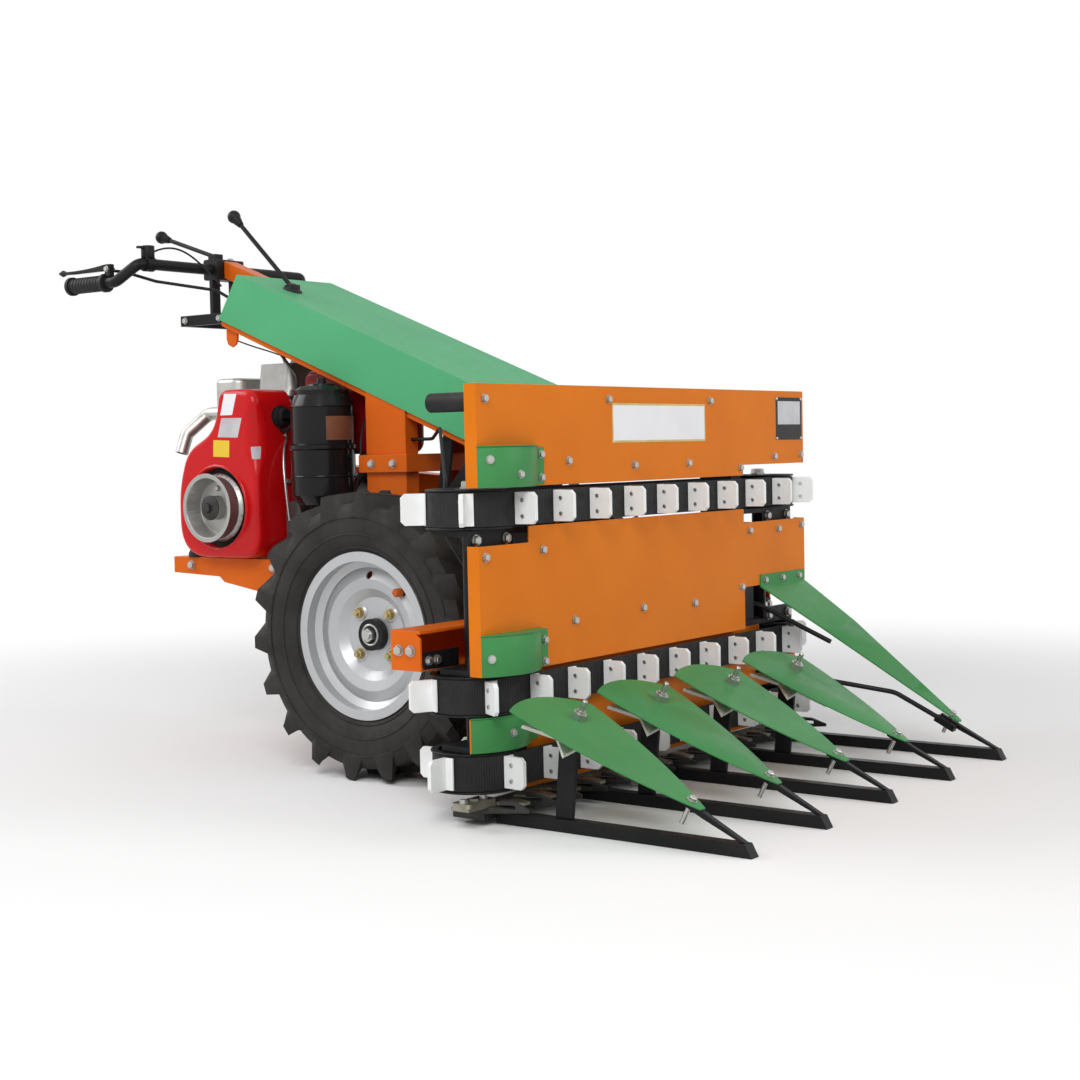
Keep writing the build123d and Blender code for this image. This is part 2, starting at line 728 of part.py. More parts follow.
# Fuel tank with its filler cap
with BuildPart() as fuel_tank:
    with BuildSketch(side(TANK_LEFT)):
        with Locations(((TANK_REAR + TANK_FRONT) / 2, (TANK_BOTTOM + TANK_TOP) / 2)):
            RectangleRounded(TANK_FRONT - TANK_REAR, TANK_TOP - TANK_BOTTOM, TANK_CORNER)
    extrude(amount=TANK_LEFT - TANK_RIGHT)
    for end_face in (fuel_tank.faces().sort_by(Axis.Y)[0], fuel_tank.faces().sort_by(Axis.Y)[-1]):
        fillet(end_face.edges(), TANK_EDGE)
finish(fuel_tank, "fuel_tank")

with BuildPart() as tank_cap:
    with BuildSketch(level(TANK_TOP)):
        with Locations((TANK_REAR + TANK_CAP_IN, TANK_CAP_Y)):
            RegularPolygon(TANK_CAP_R, 16)
    extrude(amount=TANK_CAP_H)
    fillet(tank_cap.faces().sort_by(Axis.Z)[-1].edges(), 3)
finish(tank_cap, "tank_cap")

# Muffler behind the head, with its inlet flange and a bent tail pipe
muffler_rear = MUFFLER_X - MUFFLER_LONG / 2
exhaust_z = (MUFFLER_LOW + MUFFLER_HIGH) / 2
tail_route = [
    (MUFFLER_X, MUFFLER_Y - MUFFLER_CORNER, MUFFLER_LOW + 2 * PIPE_R),
    (muffler_rear - 40, MUFFLER_Y - MUFFLER_CORNER, MUFFLER_LOW + 2 * PIPE_R),
    (muffler_rear - 70, MUFFLER_Y - MUFFLER_WIDE / 2 - PIPE_R, MUFFLER_LOW - PIPE_R),
    (muffler_rear - 74, MUFFLER_Y - MUFFLER_WIDE / 2 - 2 * PIPE_R, MUFFLER_LOW - 4 * PIPE_R),
]
with BuildPart() as muffler:
    tube(tail_route, PIPE_R, PIPE_BEND)
    with BuildSketch(level(MUFFLER_LOW)):
        with Locations((MUFFLER_X, MUFFLER_Y)):
            RectangleRounded(MUFFLER_LONG, MUFFLER_WIDE, MUFFLER_CORNER)
    extrude(amount=MUFFLER_HIGH - MUFFLER_LOW)
    fillet(muffler.faces().sort_by(Axis.Z)[-1].edges(), 10)
    with BuildSketch(across(CYL_REAR - FIN_OUT / 2)):
        with Locations((MUFFLER_Y, exhaust_z)):
            Circle(EXHAUST_R)
    extrude(amount=MUFFLER_X - (CYL_REAR - FIN_OUT / 2))
    with BuildSketch(level(MUFFLER_LOW + MUFFLER_WALL)):
        with Locations((MUFFLER_X, MUFFLER_Y)):
            RectangleRounded(
                MUFFLER_LONG - 2 * MUFFLER_WALL,
                MUFFLER_WIDE - 2 * MUFFLER_WALL,
                MUFFLER_CORNER - MUFFLER_WALL,
            )
    extrude(amount=MUFFLER_HIGH - MUFFLER_LOW - 3 * MUFFLER_WALL, mode=Mode.SUBTRACT)
    tube(tail_route, PIPE_R - PIPE_WALL, PIPE_BEND, Mode.SUBTRACT)
finish(muffler, "muffler")

# Post pair on the deck, tied by a cross tube that carries the handle column
beam_low = BEAM_DROP + BEAM_SIZE
hood_rear_low = HOOD_REAR - HOOD_RAKE
chord_rear = hood_rear_low
deck_top = RAIL_TOP + DECK_T
post_out = HOOD_HALF - SHEET - SEAT_GAP

with BuildPart() as posts:
    for hand in (-1, 1):
        with BuildSketch(side(hand * post_out)):
            Polygon(
                (POST_REAR, deck_top),
                (POST_FRONT, deck_top),
                (POST_FRONT, hood_z(POST_FRONT) - beam_low),
                (POST_REAR, hood_z(POST_REAR) - beam_low),
                align=None,
            )
        extrude(amount=hand * POST_T)
        with BuildSketch(side(hand * (post_out - RAIL_WALL))):
            Polygon(
                (POST_REAR + RAIL_WALL, deck_top),
                (POST_FRONT - RAIL_WALL, deck_top),
                (POST_FRONT - RAIL_WALL, hood_z(POST_FRONT)),
                (POST_REAR + RAIL_WALL, hood_z(POST_REAR)),
                align=None,
            )
        extrude(amount=hand * POST_T, mode=Mode.SUBTRACT)
finish(posts, "posts")

with BuildPart() as post_collar:
    collar_wall = 2 * RAIL_WALL
    with BuildSketch(level(COLLAR_LOW)):
        with Locations(((POST_REAR + POST_FRONT) / 2, 0)):
            Rectangle(POST_FRONT - POST_REAR + 2 * collar_wall, 2 * (post_out + collar_wall))
            Rectangle(POST_FRONT - POST_REAR + 2 * SEAT_GAP, 2 * post_out + 2 * SEAT_GAP, mode=Mode.SUBTRACT)
    extrude(amount=COLLAR_HIGH - COLLAR_LOW)
finish(post_collar, "post_collar")

# Handle column: square tube running up under the hood to the handle head
with BuildPart() as handle_column:
    with BuildSketch(side(BEAM_SIZE / 2)):
        Polygon(
            (BEAM_FRONT, hood_z(BEAM_FRONT) - beam_low),
            (BEAM_FRONT, hood_z(BEAM_FRONT) - BEAM_DROP),
            (BEAM_REAR, hood_z(BEAM_REAR) - BEAM_DROP),
            (BEAM_REAR, hood_z(BEAM_REAR) - beam_low),
            align=None,
        )
    extrude(amount=BEAM_SIZE)
    with BuildSketch(side(post_out)):
        Polygon(
            (POST_REAR, hood_z(POST_REAR) - beam_low),
            (POST_FRONT, hood_z(POST_FRONT) - beam_low),
            (POST_FRONT, hood_z(POST_FRONT) - BEAM_DROP),
            (POST_REAR, hood_z(POST_REAR) - BEAM_DROP),
            align=None,
        )
    extrude(amount=2 * post_out)
    for half, rear, front in (
        (BEAM_SIZE / 2 - BEAM_WALL, BEAM_REAR, BEAM_FRONT),
        (post_out, POST_REAR + BEAM_WALL, POST_FRONT - BEAM_WALL),
    ):
        with BuildSketch(side(half)):
            Polygon(
                (rear, hood_z(rear) - beam_low + BEAM_WALL),
                (front, hood_z(front) - beam_low + BEAM_WALL),
                (front, hood_z(front) - BEAM_DROP - BEAM_WALL),
                (rear, hood_z(rear) - BEAM_DROP - BEAM_WALL),
                align=None,
            )
        extrude(amount=2 * half, mode=Mode.SUBTRACT)
    for hand in (-1, 1):
        for rear, front in ((chord_rear, POST_REAR - SEAT_GAP), (POST_FRONT + SEAT_GAP, HOOD_FRONT)):
            with BuildSketch(side(hand * CHORD_OUT)):
                Polygon(
                    (rear, hood_z(rear) - CHORD_DROP - CHORD_SIZE),
                    (front, hood_z(front) - CHORD_DROP - CHORD_SIZE),
                    (front, hood_z(front) - CHORD_DROP),
                    (rear, hood_z(rear) - CHORD_DROP),
                    align=None,
                )
            extrude(amount=hand * CHORD_SIZE)
finish(handle_column, "handle_column")

# Hood: folded sheet, open below and at both ends
hood_outline = [
    (HOOD_REAR, hood_z(HOOD_REAR)),
    (HOOD_FRONT, hood_z(HOOD_FRONT)),
    (HOOD_FRONT, hood_z(HOOD_FRONT) - HOOD_SIDE),
    (hood_rear_low, hood_z(hood_rear_low) - HOOD_SIDE),
]
with BuildPart() as hood:
    with BuildSketch(side(HOOD_HALF)):
        Polygon(*hood_outline, align=None)
    extrude(amount=2 * HOOD_HALF)
    with BuildSketch(side(HOOD_HALF - SHEET)):
        Polygon(
            (hood_rear_low - HOOD_SIDE, hood_z(hood_rear_low - HOOD_SIDE) - SHEET),
            (HOOD_FRONT + HOOD_SIDE, hood_z(HOOD_FRONT + HOOD_SIDE) - SHEET),
            (HOOD_FRONT + HOOD_SIDE, hood_z(HOOD_FRONT + HOOD_SIDE) - 2 * HOOD_SIDE),
            (hood_rear_low - HOOD_SIDE, hood_z(hood_rear_low - HOOD_SIDE) - 2 * HOOD_SIDE),
            align=None,
        )
    extrude(amount=2 * (HOOD_HALF - SHEET), mode=Mode.SUBTRACT)
finish(hood, "hood")

# Handle head with two swept bars, rubber grips and hand levers
bar_x = (HEAD_REAR + BEAM_REAR) / 2
bar_z = hood_z(BEAM_REAR) - BEAM_DROP - BEAM_SIZE / 2
grip_z = bar_z - GRIP_DROP
grip_front = GRIP_REAR + GRIP_LENGTH
head_low = bar_z - HEAD_H / 2
with BuildPart() as handle_head:
    with BuildSketch(side(HEAD_HALF)):
        with Locations((bar_x - SEAT_GAP, bar_z)):
            RectangleRounded(HEAD_LONG, HEAD_H, 6)
    extrude(amount=2 * HEAD_HALF)
finish(handle_head, "handle_head")

# Hanger: two straps under the head, tied across and carried forward to the hood's side chords
hanger_low = bar_z - HEAD_H / 2 - HANGER_DROP
hanger_half = CHORD_OUT - CHORD_SIZE / 2 + HANGER_T / 2
hanger_rear = bar_x - HANGER_T / 2
with BuildPart() as handle_hanger:
    for hand in (-1, 1):
        with BuildSketch(across(hanger_rear)):
            with Locations((hand * (HEAD_HALF - HANGER_W / 2), (hanger_low + head_low - SEAT_GAP) / 2)):
                Rectangle(HANGER_W, head_low - SEAT_GAP - hanger_low)
        extrude(amount=HANGER_T)
        with BuildSketch(level(hanger_low)):
            with Locations(((hanger_rear + chord_rear - SEAT_GAP) / 2, hand * (hanger_half - HANGER_T / 2))):
                Rectangle(chord_rear - SEAT_GAP - hanger_rear, HANGER_T)
        extrude(amount=HANGER_W)
    with BuildSketch(level(hanger_low)):
        with Locations((bar_x, 0)):
            Rectangle(HANGER_T, 2 * hanger_half)
    extrude(amount=HANGER_W)
finish(handle_hanger, "handle_hanger")

for hand, name in ((-1, "right"), (1, "left")):
    with BuildPart() as handlebar:
        bar_route = [
            (bar_x, hand * HEAD_HALF, bar_z),
            (bar_x, hand * (GRIP_Y - BAR_LEVEL), bar_z),
            (grip_front + BAR_LEVEL, hand * GRIP_Y, grip_z),
            (grip_front, hand * GRIP_Y, grip_z),
        ]
        tube(bar_route, BAR_R, BAR_BEND)
    finish(handlebar, f"handlebar_{name}")

with BuildPart() as grips:
    for hand in (-1, 1):
        with BuildSketch(across(GRIP_REAR)):
            with Locations((hand * GRIP_Y, grip_z)):
                Circle(GRIP_R)
        extrude(amount=GRIP_LENGTH)
        for lip_x in (GRIP_REAR, grip_front - 2 * GRIP_LIP):
            with BuildSketch(across(lip_x)):
                with Locations((hand * GRIP_Y, grip_z)):
                    Circle(GRIP_R + GRIP_LIP)
            extrude(amount=2 * GRIP_LIP)
finish(grips, "grips")

# Hand levers above the grips, clamped to the bars, and the throttle knob on the right bar
lever_seat = grip_z + BAR_R + SEAT_GAP
lever_rise = GRIP_R + GRIP_LIP + LEVER_W
with BuildPart() as hand_levers:
    for hand in (-1, 1):
        with BuildSketch(side(hand * GRIP_Y + LEVER_W / 2)):
            with BuildLine():
                Polyline(
                    (-LEVER_REACH, grip_z + lever_rise),
                    (-LEVER_REACH, grip_z + lever_rise - LEVER_W / 2),
                )
                ThreePointArc(
                    (-LEVER_REACH, grip_z + lever_rise - LEVER_W / 2),
                    (GRIP_REAR + GRIP_LENGTH / 2, lever_seat + LEVER_W),
                    (grip_front + SEAT_GAP, lever_seat + LEVER_W),
                )
                Polyline(
                    (grip_front + SEAT_GAP, lever_seat + LEVER_W),
                    (grip_front + SEAT_GAP, lever_seat),
                    (grip_front + LEVER_CLAMP, lever_seat),
                    (grip_front + LEVER_CLAMP, lever_seat + 2 * LEVER_W),
                    (grip_front, lever_seat + 2 * LEVER_W),
                )
                ThreePointArc(
                    (grip_front, lever_seat + 2 * LEVER_W),
                    (GRIP_REAR + GRIP_LENGTH / 2, lever_seat + 1.6 * LEVER_W),
                    (-LEVER_REACH, grip_z + lever_rise),
                )
            make_face()
        extrude(amount=LEVER_W)
    with BuildSketch(level(bar_z + BAR_R + SEAT_GAP)):
        with Locations((bar_x, KNOB_Y)):
            Circle(KNOB_R)
    extrude(amount=KNOB_H)
finish(hand_levers, "hand_levers")

# Gear levers: rods with pear knobs, columns are foot x, foot z, knob x, knob z, side y
LEVER_ROD_R = 5.0
LEVER_KNOB_R = 15.0
LEVER_NECK_R = 7.0
LEVER_NECK = 30.0
LEVER_FOOT = 24.0
gate_x = HOOD_REAR + 92
gear_levers_table = [
    (bar_x, bar_z + HEAD_H / 2 + SEAT_GAP, bar_x - 185, bar_z + 92, -25),
    (gate_x, hood_z(gate_x) + SEAT_GAP, gate_x - 179, hood_z(gate_x) + 179, -70),
]
link_y = -TOWER_HALF - SEAT_GAP
link_foot = (TOWER_X, INPUT_Z + 30)
link_heads = [(TOWER_X + 24, CHORD_DROP + CHORD_SIZE / 2), (TOWER_X + 120, CHORD_DROP + CHORD_SIZE / 2)]
with BuildPart() as gear_levers:
    for foot_x, foot_z, knob_x, knob_z, y in gear_levers_table:
        foot = Vector(*place(foot_x, y, foot_z + LEVER_FOOT / 4))
        knob = Vector(*place(knob_x, y, knob_z))
        rod = Plane(origin=foot, z_dir=knob - foot)
        with BuildSketch(rod):
            Circle(LEVER_ROD_R)
        extrude(amount=(knob - foot).length)
        neck = Plane(origin=knob, z_dir=foot - knob)
        with Locations(neck):
            Cone(LEVER_KNOB_R - 1, LEVER_NECK_R, LEVER_NECK, align=(Align.CENTER, Align.CENTER, Align.MIN))
        with Locations(knob):
            Sphere(LEVER_KNOB_R)
        with BuildSketch(level(foot_z + LEVER_FOOT / 2)):
            with Locations((foot_x, y)):
                Rectangle(LEVER_FOOT, LEVER_FOOT)
        seat = handle_head.part if foot_x < HOOD_REAR else hood.part
        extrude(until=Until.NEXT, target=seat, dir=(0, 0, -1))
    with BuildSketch(side(link_y)):
        for head_x, drop in link_heads:
            head = Vector(head_x, hood_z(head_x) - drop)
            run = head - Vector(*link_foot)
            with Locations(Location(tuple(Vector(*link_foot) + run / 2), atan2(run.Y, run.X) * 180 / pi)):
                SlotOverall(run.length + LINK_W, LINK_W)
    extrude(amount=LINK_T)
finish(gear_levers, "gear_levers")

# Guard over the belt drive: a pressed case with slots, on the engine's output boss and the tower's input boss
with BuildPart() as drive_guard:
    with BuildSketch(side(DRIVE_OUT)):
        with Locations((CRANK_X, CRANK_Z)):
            Circle(DRIVE_REAR_R)
        with Locations((TOWER_X, INPUT_Z)):
            Circle(DRIVE_FRONT_R)
        make_hull()
    extrude(amount=DRIVE_OUT - DRIVE_IN)
    fillet(drive_guard.faces().sort_by(Axis.Y)[-1].edges(), DRIVE_EDGE)
    with BuildSketch(side(DRIVE_OUT - DRIVE_EDGE)):
        with Locations((CRANK_X, CRANK_Z)):
            Circle(DRIVE_REAR_R - DRIVE_EDGE)
        with Locations((TOWER_X, INPUT_Z)):
            Circle(DRIVE_FRONT_R - DRIVE_EDGE)
        make_hull()
    extrude(amount=DRIVE_OUT - DRIVE_EDGE - DRIVE_IN - SHEET, mode=Mode.SUBTRACT)
    with BuildSketch(side(DRIVE_OUT)):
        for n in range(VENT_COUNT):
            vent_x = (CRANK_X + TOWER_X) / 2 + VENT_PITCH * (n - (VENT_COUNT - 1) / 2)
            with Locations(Location((vent_x, (CRANK_Z + INPUT_Z) / 2), 70)):
                SlotOverall(VENT_LONG, VENT_WIDE)
    extrude(amount=DRIVE_EDGE + SHEET, mode=Mode.SUBTRACT)
finish(drive_guard, "drive_guard")

# Header carrier: arms from the transmission to the cross beam
with BuildPart() as header_arms:
    for hand in (-1, 1):
        with BuildSketch(side(hand * ARM_Y + 6)):
            Polygon(
                (BOX_FRONT, CROSSBEAM_HIGH),
                (BOX_FRONT, CROSSBEAM_LOW - 20),
                (CROSSBEAM_REAR, CROSSBEAM_LOW),
                (CROSSBEAM_REAR, CROSSBEAM_HIGH),
                align=None,
            )
        extrude(amount=12)
finish(header_arms, "header_arms")

with BuildPart() as crossbeam:
    beam_mid = ((CROSSBEAM_REAR + CROSSBEAM_FRONT) / 2, (CROSSBEAM_LOW + CROSSBEAM_HIGH) / 2)
    with BuildSketch(side(CROSSBEAM_HALF)):
        with Locations(beam_mid):
            Rectangle(CROSSBEAM_FRONT - CROSSBEAM_REAR, CROSSBEAM_HIGH - CROSSBEAM_LOW)
        with Locations((beam_mid[0] + RAIL_WALL / 2, beam_mid[1])):
            Rectangle(
                CROSSBEAM_FRONT - CROSSBEAM_REAR - RAIL_WALL,
                CROSSBEAM_HIGH - CROSSBEAM_LOW - 2 * RAIL_WALL,
                mode=Mode.SUBTRACT,
            )
    extrude(amount=2 * CROSSBEAM_HALF)
    for hand in (-1, 1):
        with BuildSketch(side(hand * CROSSBEAM_HALF)):
            Polygon(
                (CROSSBEAM_REAR, CROSSBEAM_LOW),
                (CROSSBEAM_FRONT, CROSSBEAM_LOW),
                (CROSSBEAM_FRONT, CROSSBEAM_HIGH - BEAM_END_CUT),
                (CROSSBEAM_FRONT - BEAM_END_CUT, CROSSBEAM_HIGH),
                (CROSSBEAM_REAR, CROSSBEAM_HIGH),
                align=None,
            )
        extrude(amount=hand * BEAM_END_T)
finish(crossbeam, "crossbeam")

panel_back = PANEL_FACE - SHEET
upright_outline = [
    (CROSSBEAM_FRONT, UPRIGHT_LOW),
    (UPRIGHT_TOE, UPRIGHT_LOW),
    (UPRIGHT_TOE, SKIRT_LOW),
    (UPRIGHT_FRONT, SKIRT_LOW),
    (UPRIGHT_FRONT, LOW_PANEL_LOW + 20),
    (panel_back, LOW_PANEL_LOW + 20),
    (panel_back, LOW_PANEL_TAB),
    (UPRIGHT_FRONT, LOW_PANEL_TAB),
    (UPRIGHT_FRONT, TOP_PANEL_STEP + 10),
    (panel_back, TOP_PANEL_STEP + 10),
    (panel_back, PANEL_TOP - 10),
    (CROSSBEAM_FRONT, PANEL_TOP - 10),
]
with BuildPart() as header_uprights:
    for hand in (-1, 1):
        with BuildSketch(side(hand * UPRIGHT_Y + UPRIGHT_W / 2)):
            Polygon(*upright_outline, align=None)
        extrude(amount=UPRIGHT_W)
finish(header_uprights, "header_uprights")

# Upper and lower crop panels with their returned near edges
with BuildPart() as top_panel:
    with BuildSketch(across(panel_back)):
        Polygon(
            (-HEADER_HALF, PANEL_TOP),
            (-HEADER_HALF, TOP_PANEL_LOW),
            (STEP_Y, TOP_PANEL_LOW),
            (STEP_Y, TOP_PANEL_STEP),
            (HEADER_HALF, TOP_PANEL_STEP),
            (HEADER_HALF, PANEL_TOP),
            align=None,
        )
    extrude(amount=SHEET)
    for edge, low in ((-HEADER_HALF, TOP_PANEL_LOW), (HEADER_HALF - SHEET, TOP_PANEL_STEP)):
        with BuildSketch(across(PANEL_FACE)):
            Polygon((edge, low), (edge + SHEET, low), (edge + SHEET, PANEL_TOP), (edge, PANEL_TOP), align=None)
        extrude(amount=-PANEL_RETURN)
finish(top_panel, "top_panel")

with BuildPart() as lower_panel:
    with BuildSketch(across(panel_back)):
        Polygon(
            (-HEADER_HALF, LOW_PANEL_TAB),
            (-HEADER_HALF, LOW_PANEL_LOW),
            (STEP_Y, LOW_PANEL_LOW),
            (STEP_Y, FAR_TAB_LOW),
            (HEADER_HALF, FAR_TAB_LOW),
            (HEADER_HALF, LOW_PANEL_TAB),
            (STEP_Y, LOW_PANEL_TAB),
            (STEP_Y, LOW_PANEL_HIGH),
            (NEAR_TAB_Y, LOW_PANEL_HIGH),
            (NEAR_TAB_Y, LOW_PANEL_TAB),
            align=None,
        )
    extrude(amount=SHEET)
    for edge, low in ((-HEADER_HALF, LOW_PANEL_LOW), (HEADER_HALF - SHEET, FAR_TAB_LOW)):
        with BuildSketch(across(PANEL_FACE)):
            Polygon(
                (edge, low), (edge + SHEET, low), (edge + SHEET, LOW_PANEL_TAB), (edge, LOW_PANEL_TAB), align=None
            )
        extrude(amount=-PANEL_RETURN)
finish(lower_panel, "lower_panel")

# Skirt strips behind the two lower belts
with BuildPart() as skirt:
    strip_mid = (BELT_ZS["middle"] + BELT_ZS["lower"]) / 2
    strip_gap = BELT_ZS["middle"] - BELT_ZS["lower"] - BELT_H
    with BuildSketch(across(UPRIGHT_FRONT)):
        with Locations((0, (SKIRT_LOW + LOW_PANEL_LOW) / 2)):
            Rectangle(2 * (DRUM_Y - DRUM_R - CLAMP_SIZE), LOW_PANEL_LOW - SKIRT_LOW)
        with Locations((0, strip_mid)):
            Rectangle(2 * HEADER_HALF, strip_gap - 2 * GUARD_GAP)
    extrude(amount=SHEET)
finish(skirt, "skirt")

# Drum stacks: one upright shaft at each end with an open, lipped drum for every belt
belt_zs = list(BELT_ZS.values())
drum_half = BELT_H / 2 + DRUM_LIP_GAP + DRUM_LIP
drum_lower = [
    (0, -drum_half),
    (DRUM_HUB_R, -drum_half),
    (DRUM_HUB_R, -DRUM_WEB / 2),
    (DRUM_R - DRUM_WALL, -DRUM_WEB / 2),
    (DRUM_R - DRUM_WALL, -drum_half),
    (DRUM_R + DRUM_LIP_OUT, -drum_half),
    (DRUM_R + DRUM_LIP_OUT, DRUM_LIP - drum_half),
    (DRUM_R, DRUM_LIP - drum_half),
]
drum_section = drum_lower + [(r, -z) for r, z in reversed(drum_lower)]
with BuildPart() as drum_stacks:
    for hand in (-1, 1):
        with BuildSketch(side(hand * DRUM_Y)):
            for belt_z in belt_zs:
                Polygon(*[(DRUM_X + r, belt_z + z) for r, z in drum_section], align=None)
        revolve(axis=Axis(place(DRUM_X, hand * DRUM_Y, 0), (0, 0, 1)))
        with BuildSketch(level(min(belt_zs) - drum_half)):
            with Locations((DRUM_X, hand * DRUM_Y)):
                Circle(DRUM_SHAFT_R)
        extrude(amount=max(belt_zs) - min(belt_zs) + 2 * drum_half)
finish(drum_stacks, "drum_stacks")

# Brackets from the uprights to the shafts, each with a bolting lip along its front edge
bracket_gap = 1.0
bracket_seats = [
    # height of the plate's underside, way that the lip turns
    (BELT_ZS["top"] - drum_half - bracket_gap - BRACKET_T, -1),
    (BELT_ZS["middle"] + drum_half + bracket_gap, 1),
    (BELT_ZS["lower"] + drum_half + bracket_gap, 1),
]
bracket_front = DRUM_X + BRACKET_W
inner = UPRIGHT_Y + UPRIGHT_W / 2
with BuildPart() as drum_brackets:
    for hand in (-1, 1):
        for z, turn in bracket_seats:
            with BuildSketch(level(z)):
                with Locations((DRUM_X + BRACKET_W / 4, hand * (DRUM_Y + BRACKET_LIP_HALF + inner) / 2)):
                    Rectangle(1.5 * BRACKET_W, DRUM_Y + BRACKET_LIP_HALF - inner)
                with Locations((DRUM_X, hand * DRUM_Y)):
                    Circle(DRUM_SHAFT_R + SEAT_GAP, mode=Mode.SUBTRACT)
            extrude(amount=BRACKET_T)
            lip_z = z + BRACKET_T / 2 + turn * (BRACKET_LIP - BRACKET_T) / 2
            with BuildSketch(across(bracket_front)):
                with Locations((hand * DRUM_Y, lip_z)):
                    Rectangle(2 * BRACKET_LIP_HALF, BRACKET_LIP)
            extrude(amount=-BRACKET_LIP_T)
finish(drum_brackets, "drum_brackets")

belt_in = DRUM_R + SEAT_GAP
belt_out = belt_in + BELT_T
for name, z in BELT_ZS.items():
    with BuildPart() as belt:
        with BuildSketch(level(z - BELT_H / 2)):
            with Locations((DRUM_X, 0)):
                SlotCenterToCenter(2 * DRUM_Y, 2 * belt_out, rotation=90)
                SlotCenterToCenter(2 * DRUM_Y, 2 * belt_in, rotation=90, mode=Mode.SUBTRACT)
        extrude(amount=BELT_H)
    finish(belt, f"belt_{name}")

# Lug plates: spaced evenly round the belt, each square to it
loop_length = 4 * DRUM_Y + 2 * pi * belt_out


def belt_place(s):
    """Point on the belt's outer face at run s, and the outward direction there."""
    run = 2 * DRUM_Y
    turn = pi * belt_out
    s = s % loop_length
    if s < run:
        return (DRUM_X + belt_out, -DRUM_Y + s), (1, 0)
    if s < run + turn:
        a = (s - run) / belt_out
        return (DRUM_X + belt_out * cos(a), DRUM_Y + belt_out * sin(a)), (cos(a), sin(a))
    if s < 2 * run + turn:
        return (DRUM_X - belt_out, DRUM_Y - (s - run - turn)), (-1, 0)
    a = (s - 2 * run - turn) / belt_out
    return (DRUM_X - belt_out * cos(a), -DRUM_Y - belt_out * sin(a)), (-cos(a), -sin(a))


plate_step = loop_length / LUG_PLATES
plate_half = PLATE_H / 2
plate_outline = [
    (0, plate_half),
    (PLATE_OUT - PLATE_CORNER, plate_half),
    (PLATE_OUT, plate_half - PLATE_CORNER),
    (PLATE_OUT, PLATE_CORNER - plate_half),
    (PLATE_OUT - PLATE_CORNER, -plate_half),
    (0, -plate_half),
]
for phase, (name, z) in enumerate(BELT_ZS.items()):
    with BuildPart() as lugs:
        for n in range(LUG_PLATES):
            (x, y), (nx, ny) = belt_place((n + PLATE_STAGGER * phase + PLATE_START) * plate_step)
            foot = Vector(*place(x, y, z)) + Vector(nx, ny, 0) * SEAT_GAP
            with BuildSketch(Plane(origin=foot, x_dir=(nx, ny, 0), z_dir=(ny, -nx, 0))):
                Polygon(*plate_outline, align=None)
        extrude(amount=PLATE_T)
        for n in range(LUG_PLATES):
            (x, y), (nx, ny) = belt_place((n + PLATE_STAGGER * phase + PLATE_START) * plate_step)
            foot = Vector(*place(x, y, z - PLATE_H / 2)) + Vector(nx, ny, 0) * SEAT_GAP
            with BuildSketch(Plane(origin=foot, x_dir=(nx, ny, 0), z_dir=(0, 0, 1))):
                Rectangle(PLATE_FOOT_T, PLATE_FOOT, align=(Align.MIN, Align.MIN))
        extrude(amount=PLATE_H)
    finish(lugs, f"lugs_{name}")

# Shoes: ground bar, foot post under the leaf, and the rod from the nose up to the leaf's tip
shoe_ys = [PITCH * (n - 2) for n in range(5)]
leaf_ys = shoe_ys[:4]
leaf_slope = (LEAF_Z - LEAF_TIP_Z) / (LEAF_TIP_X - LEAF_X)
leaf_turn = atan2(leaf_slope, 1)
down_leaf = Vector(cos(leaf_turn), 0, -sin(leaf_turn))
off_leaf = Vector(sin(leaf_turn), 0, cos(leaf_turn))
pin_depth = STAR_SPACER + STAR_HUB_H + 2 * END_GAP + PIN_FOOT_T


def leaf_plane(y, drop=0.0):
    """Plane at the leaf's underside, moved down by drop: local x down the leaf, local y to the left."""
    origin = Vector(AXLE_X + LEAF_X, y, LEAF_Z) - off_leaf * drop
    return Plane(origin=origin, x_dir=down_leaf, z_dir=off_leaf)


def foot_top(x):
    pin_foot = Vector(LEAF_X, 0, LEAF_Z) - off_leaf * pin_depth
    return pin_foot.Z + leaf_slope * (pin_foot.X - x)


with BuildPart() as shoe_bars:
    for y in shoe_ys:
        with BuildSketch(side(y + SHOE_W / 2)):
            Polygon(
                (BAR_FRONT, 0), (NOSE_REACH, 0), (NOSE_REACH - 12, SHOE_H), (BAR_FRONT, SHOE_H), align=None
            )
        extrude(amount=SHOE_W)
finish(shoe_bars, "shoe_bars")

with BuildPart() as shoe_posts:
    for y in leaf_ys:
        with BuildSketch(side(y + FOOT_T / 2)):
            Polygon(
                (FOOT_X - FOOT_W / 2, SHOE_H),
                (FOOT_X + FOOT_W / 2, SHOE_H),
                (FOOT_X + FOOT_W / 2 + 12, foot_top(FOOT_X + FOOT_W / 2 + 12)),
                (FOOT_X - FOOT_W / 2 + 12, foot_top(FOOT_X - FOOT_W / 2 + 12)),
                align=None,
            )
        extrude(amount=FOOT_T)
finish(shoe_posts, "shoe_posts")

rod_foot = (NOSE_REACH - 24, SHOE_H)
with BuildPart() as nose_rods:
    for y in shoe_ys:
        with BuildSketch(side(y + NOSE_ROD_R)):
            Polygon(
                rod_foot,
                (rod_foot[0] + 12, SHOE_H),
                (LEAF_TIP_X + 10, LEAF_TIP_Z - leaf_slope * 10 - SEAT_GAP),
                (LEAF_TIP_X - 40, LEAF_TIP_Z + leaf_slope * 40 - SEAT_GAP),
                (LEAF_TIP_X - 40, LEAF_TIP_Z + leaf_slope * 40 - 12),
                (LEAF_TIP_X, LEAF_TIP_Z - 12),
                align=None,
            )
        extrude(amount=2 * NOSE_ROD_R)
finish(nose_rods, "nose_rods")

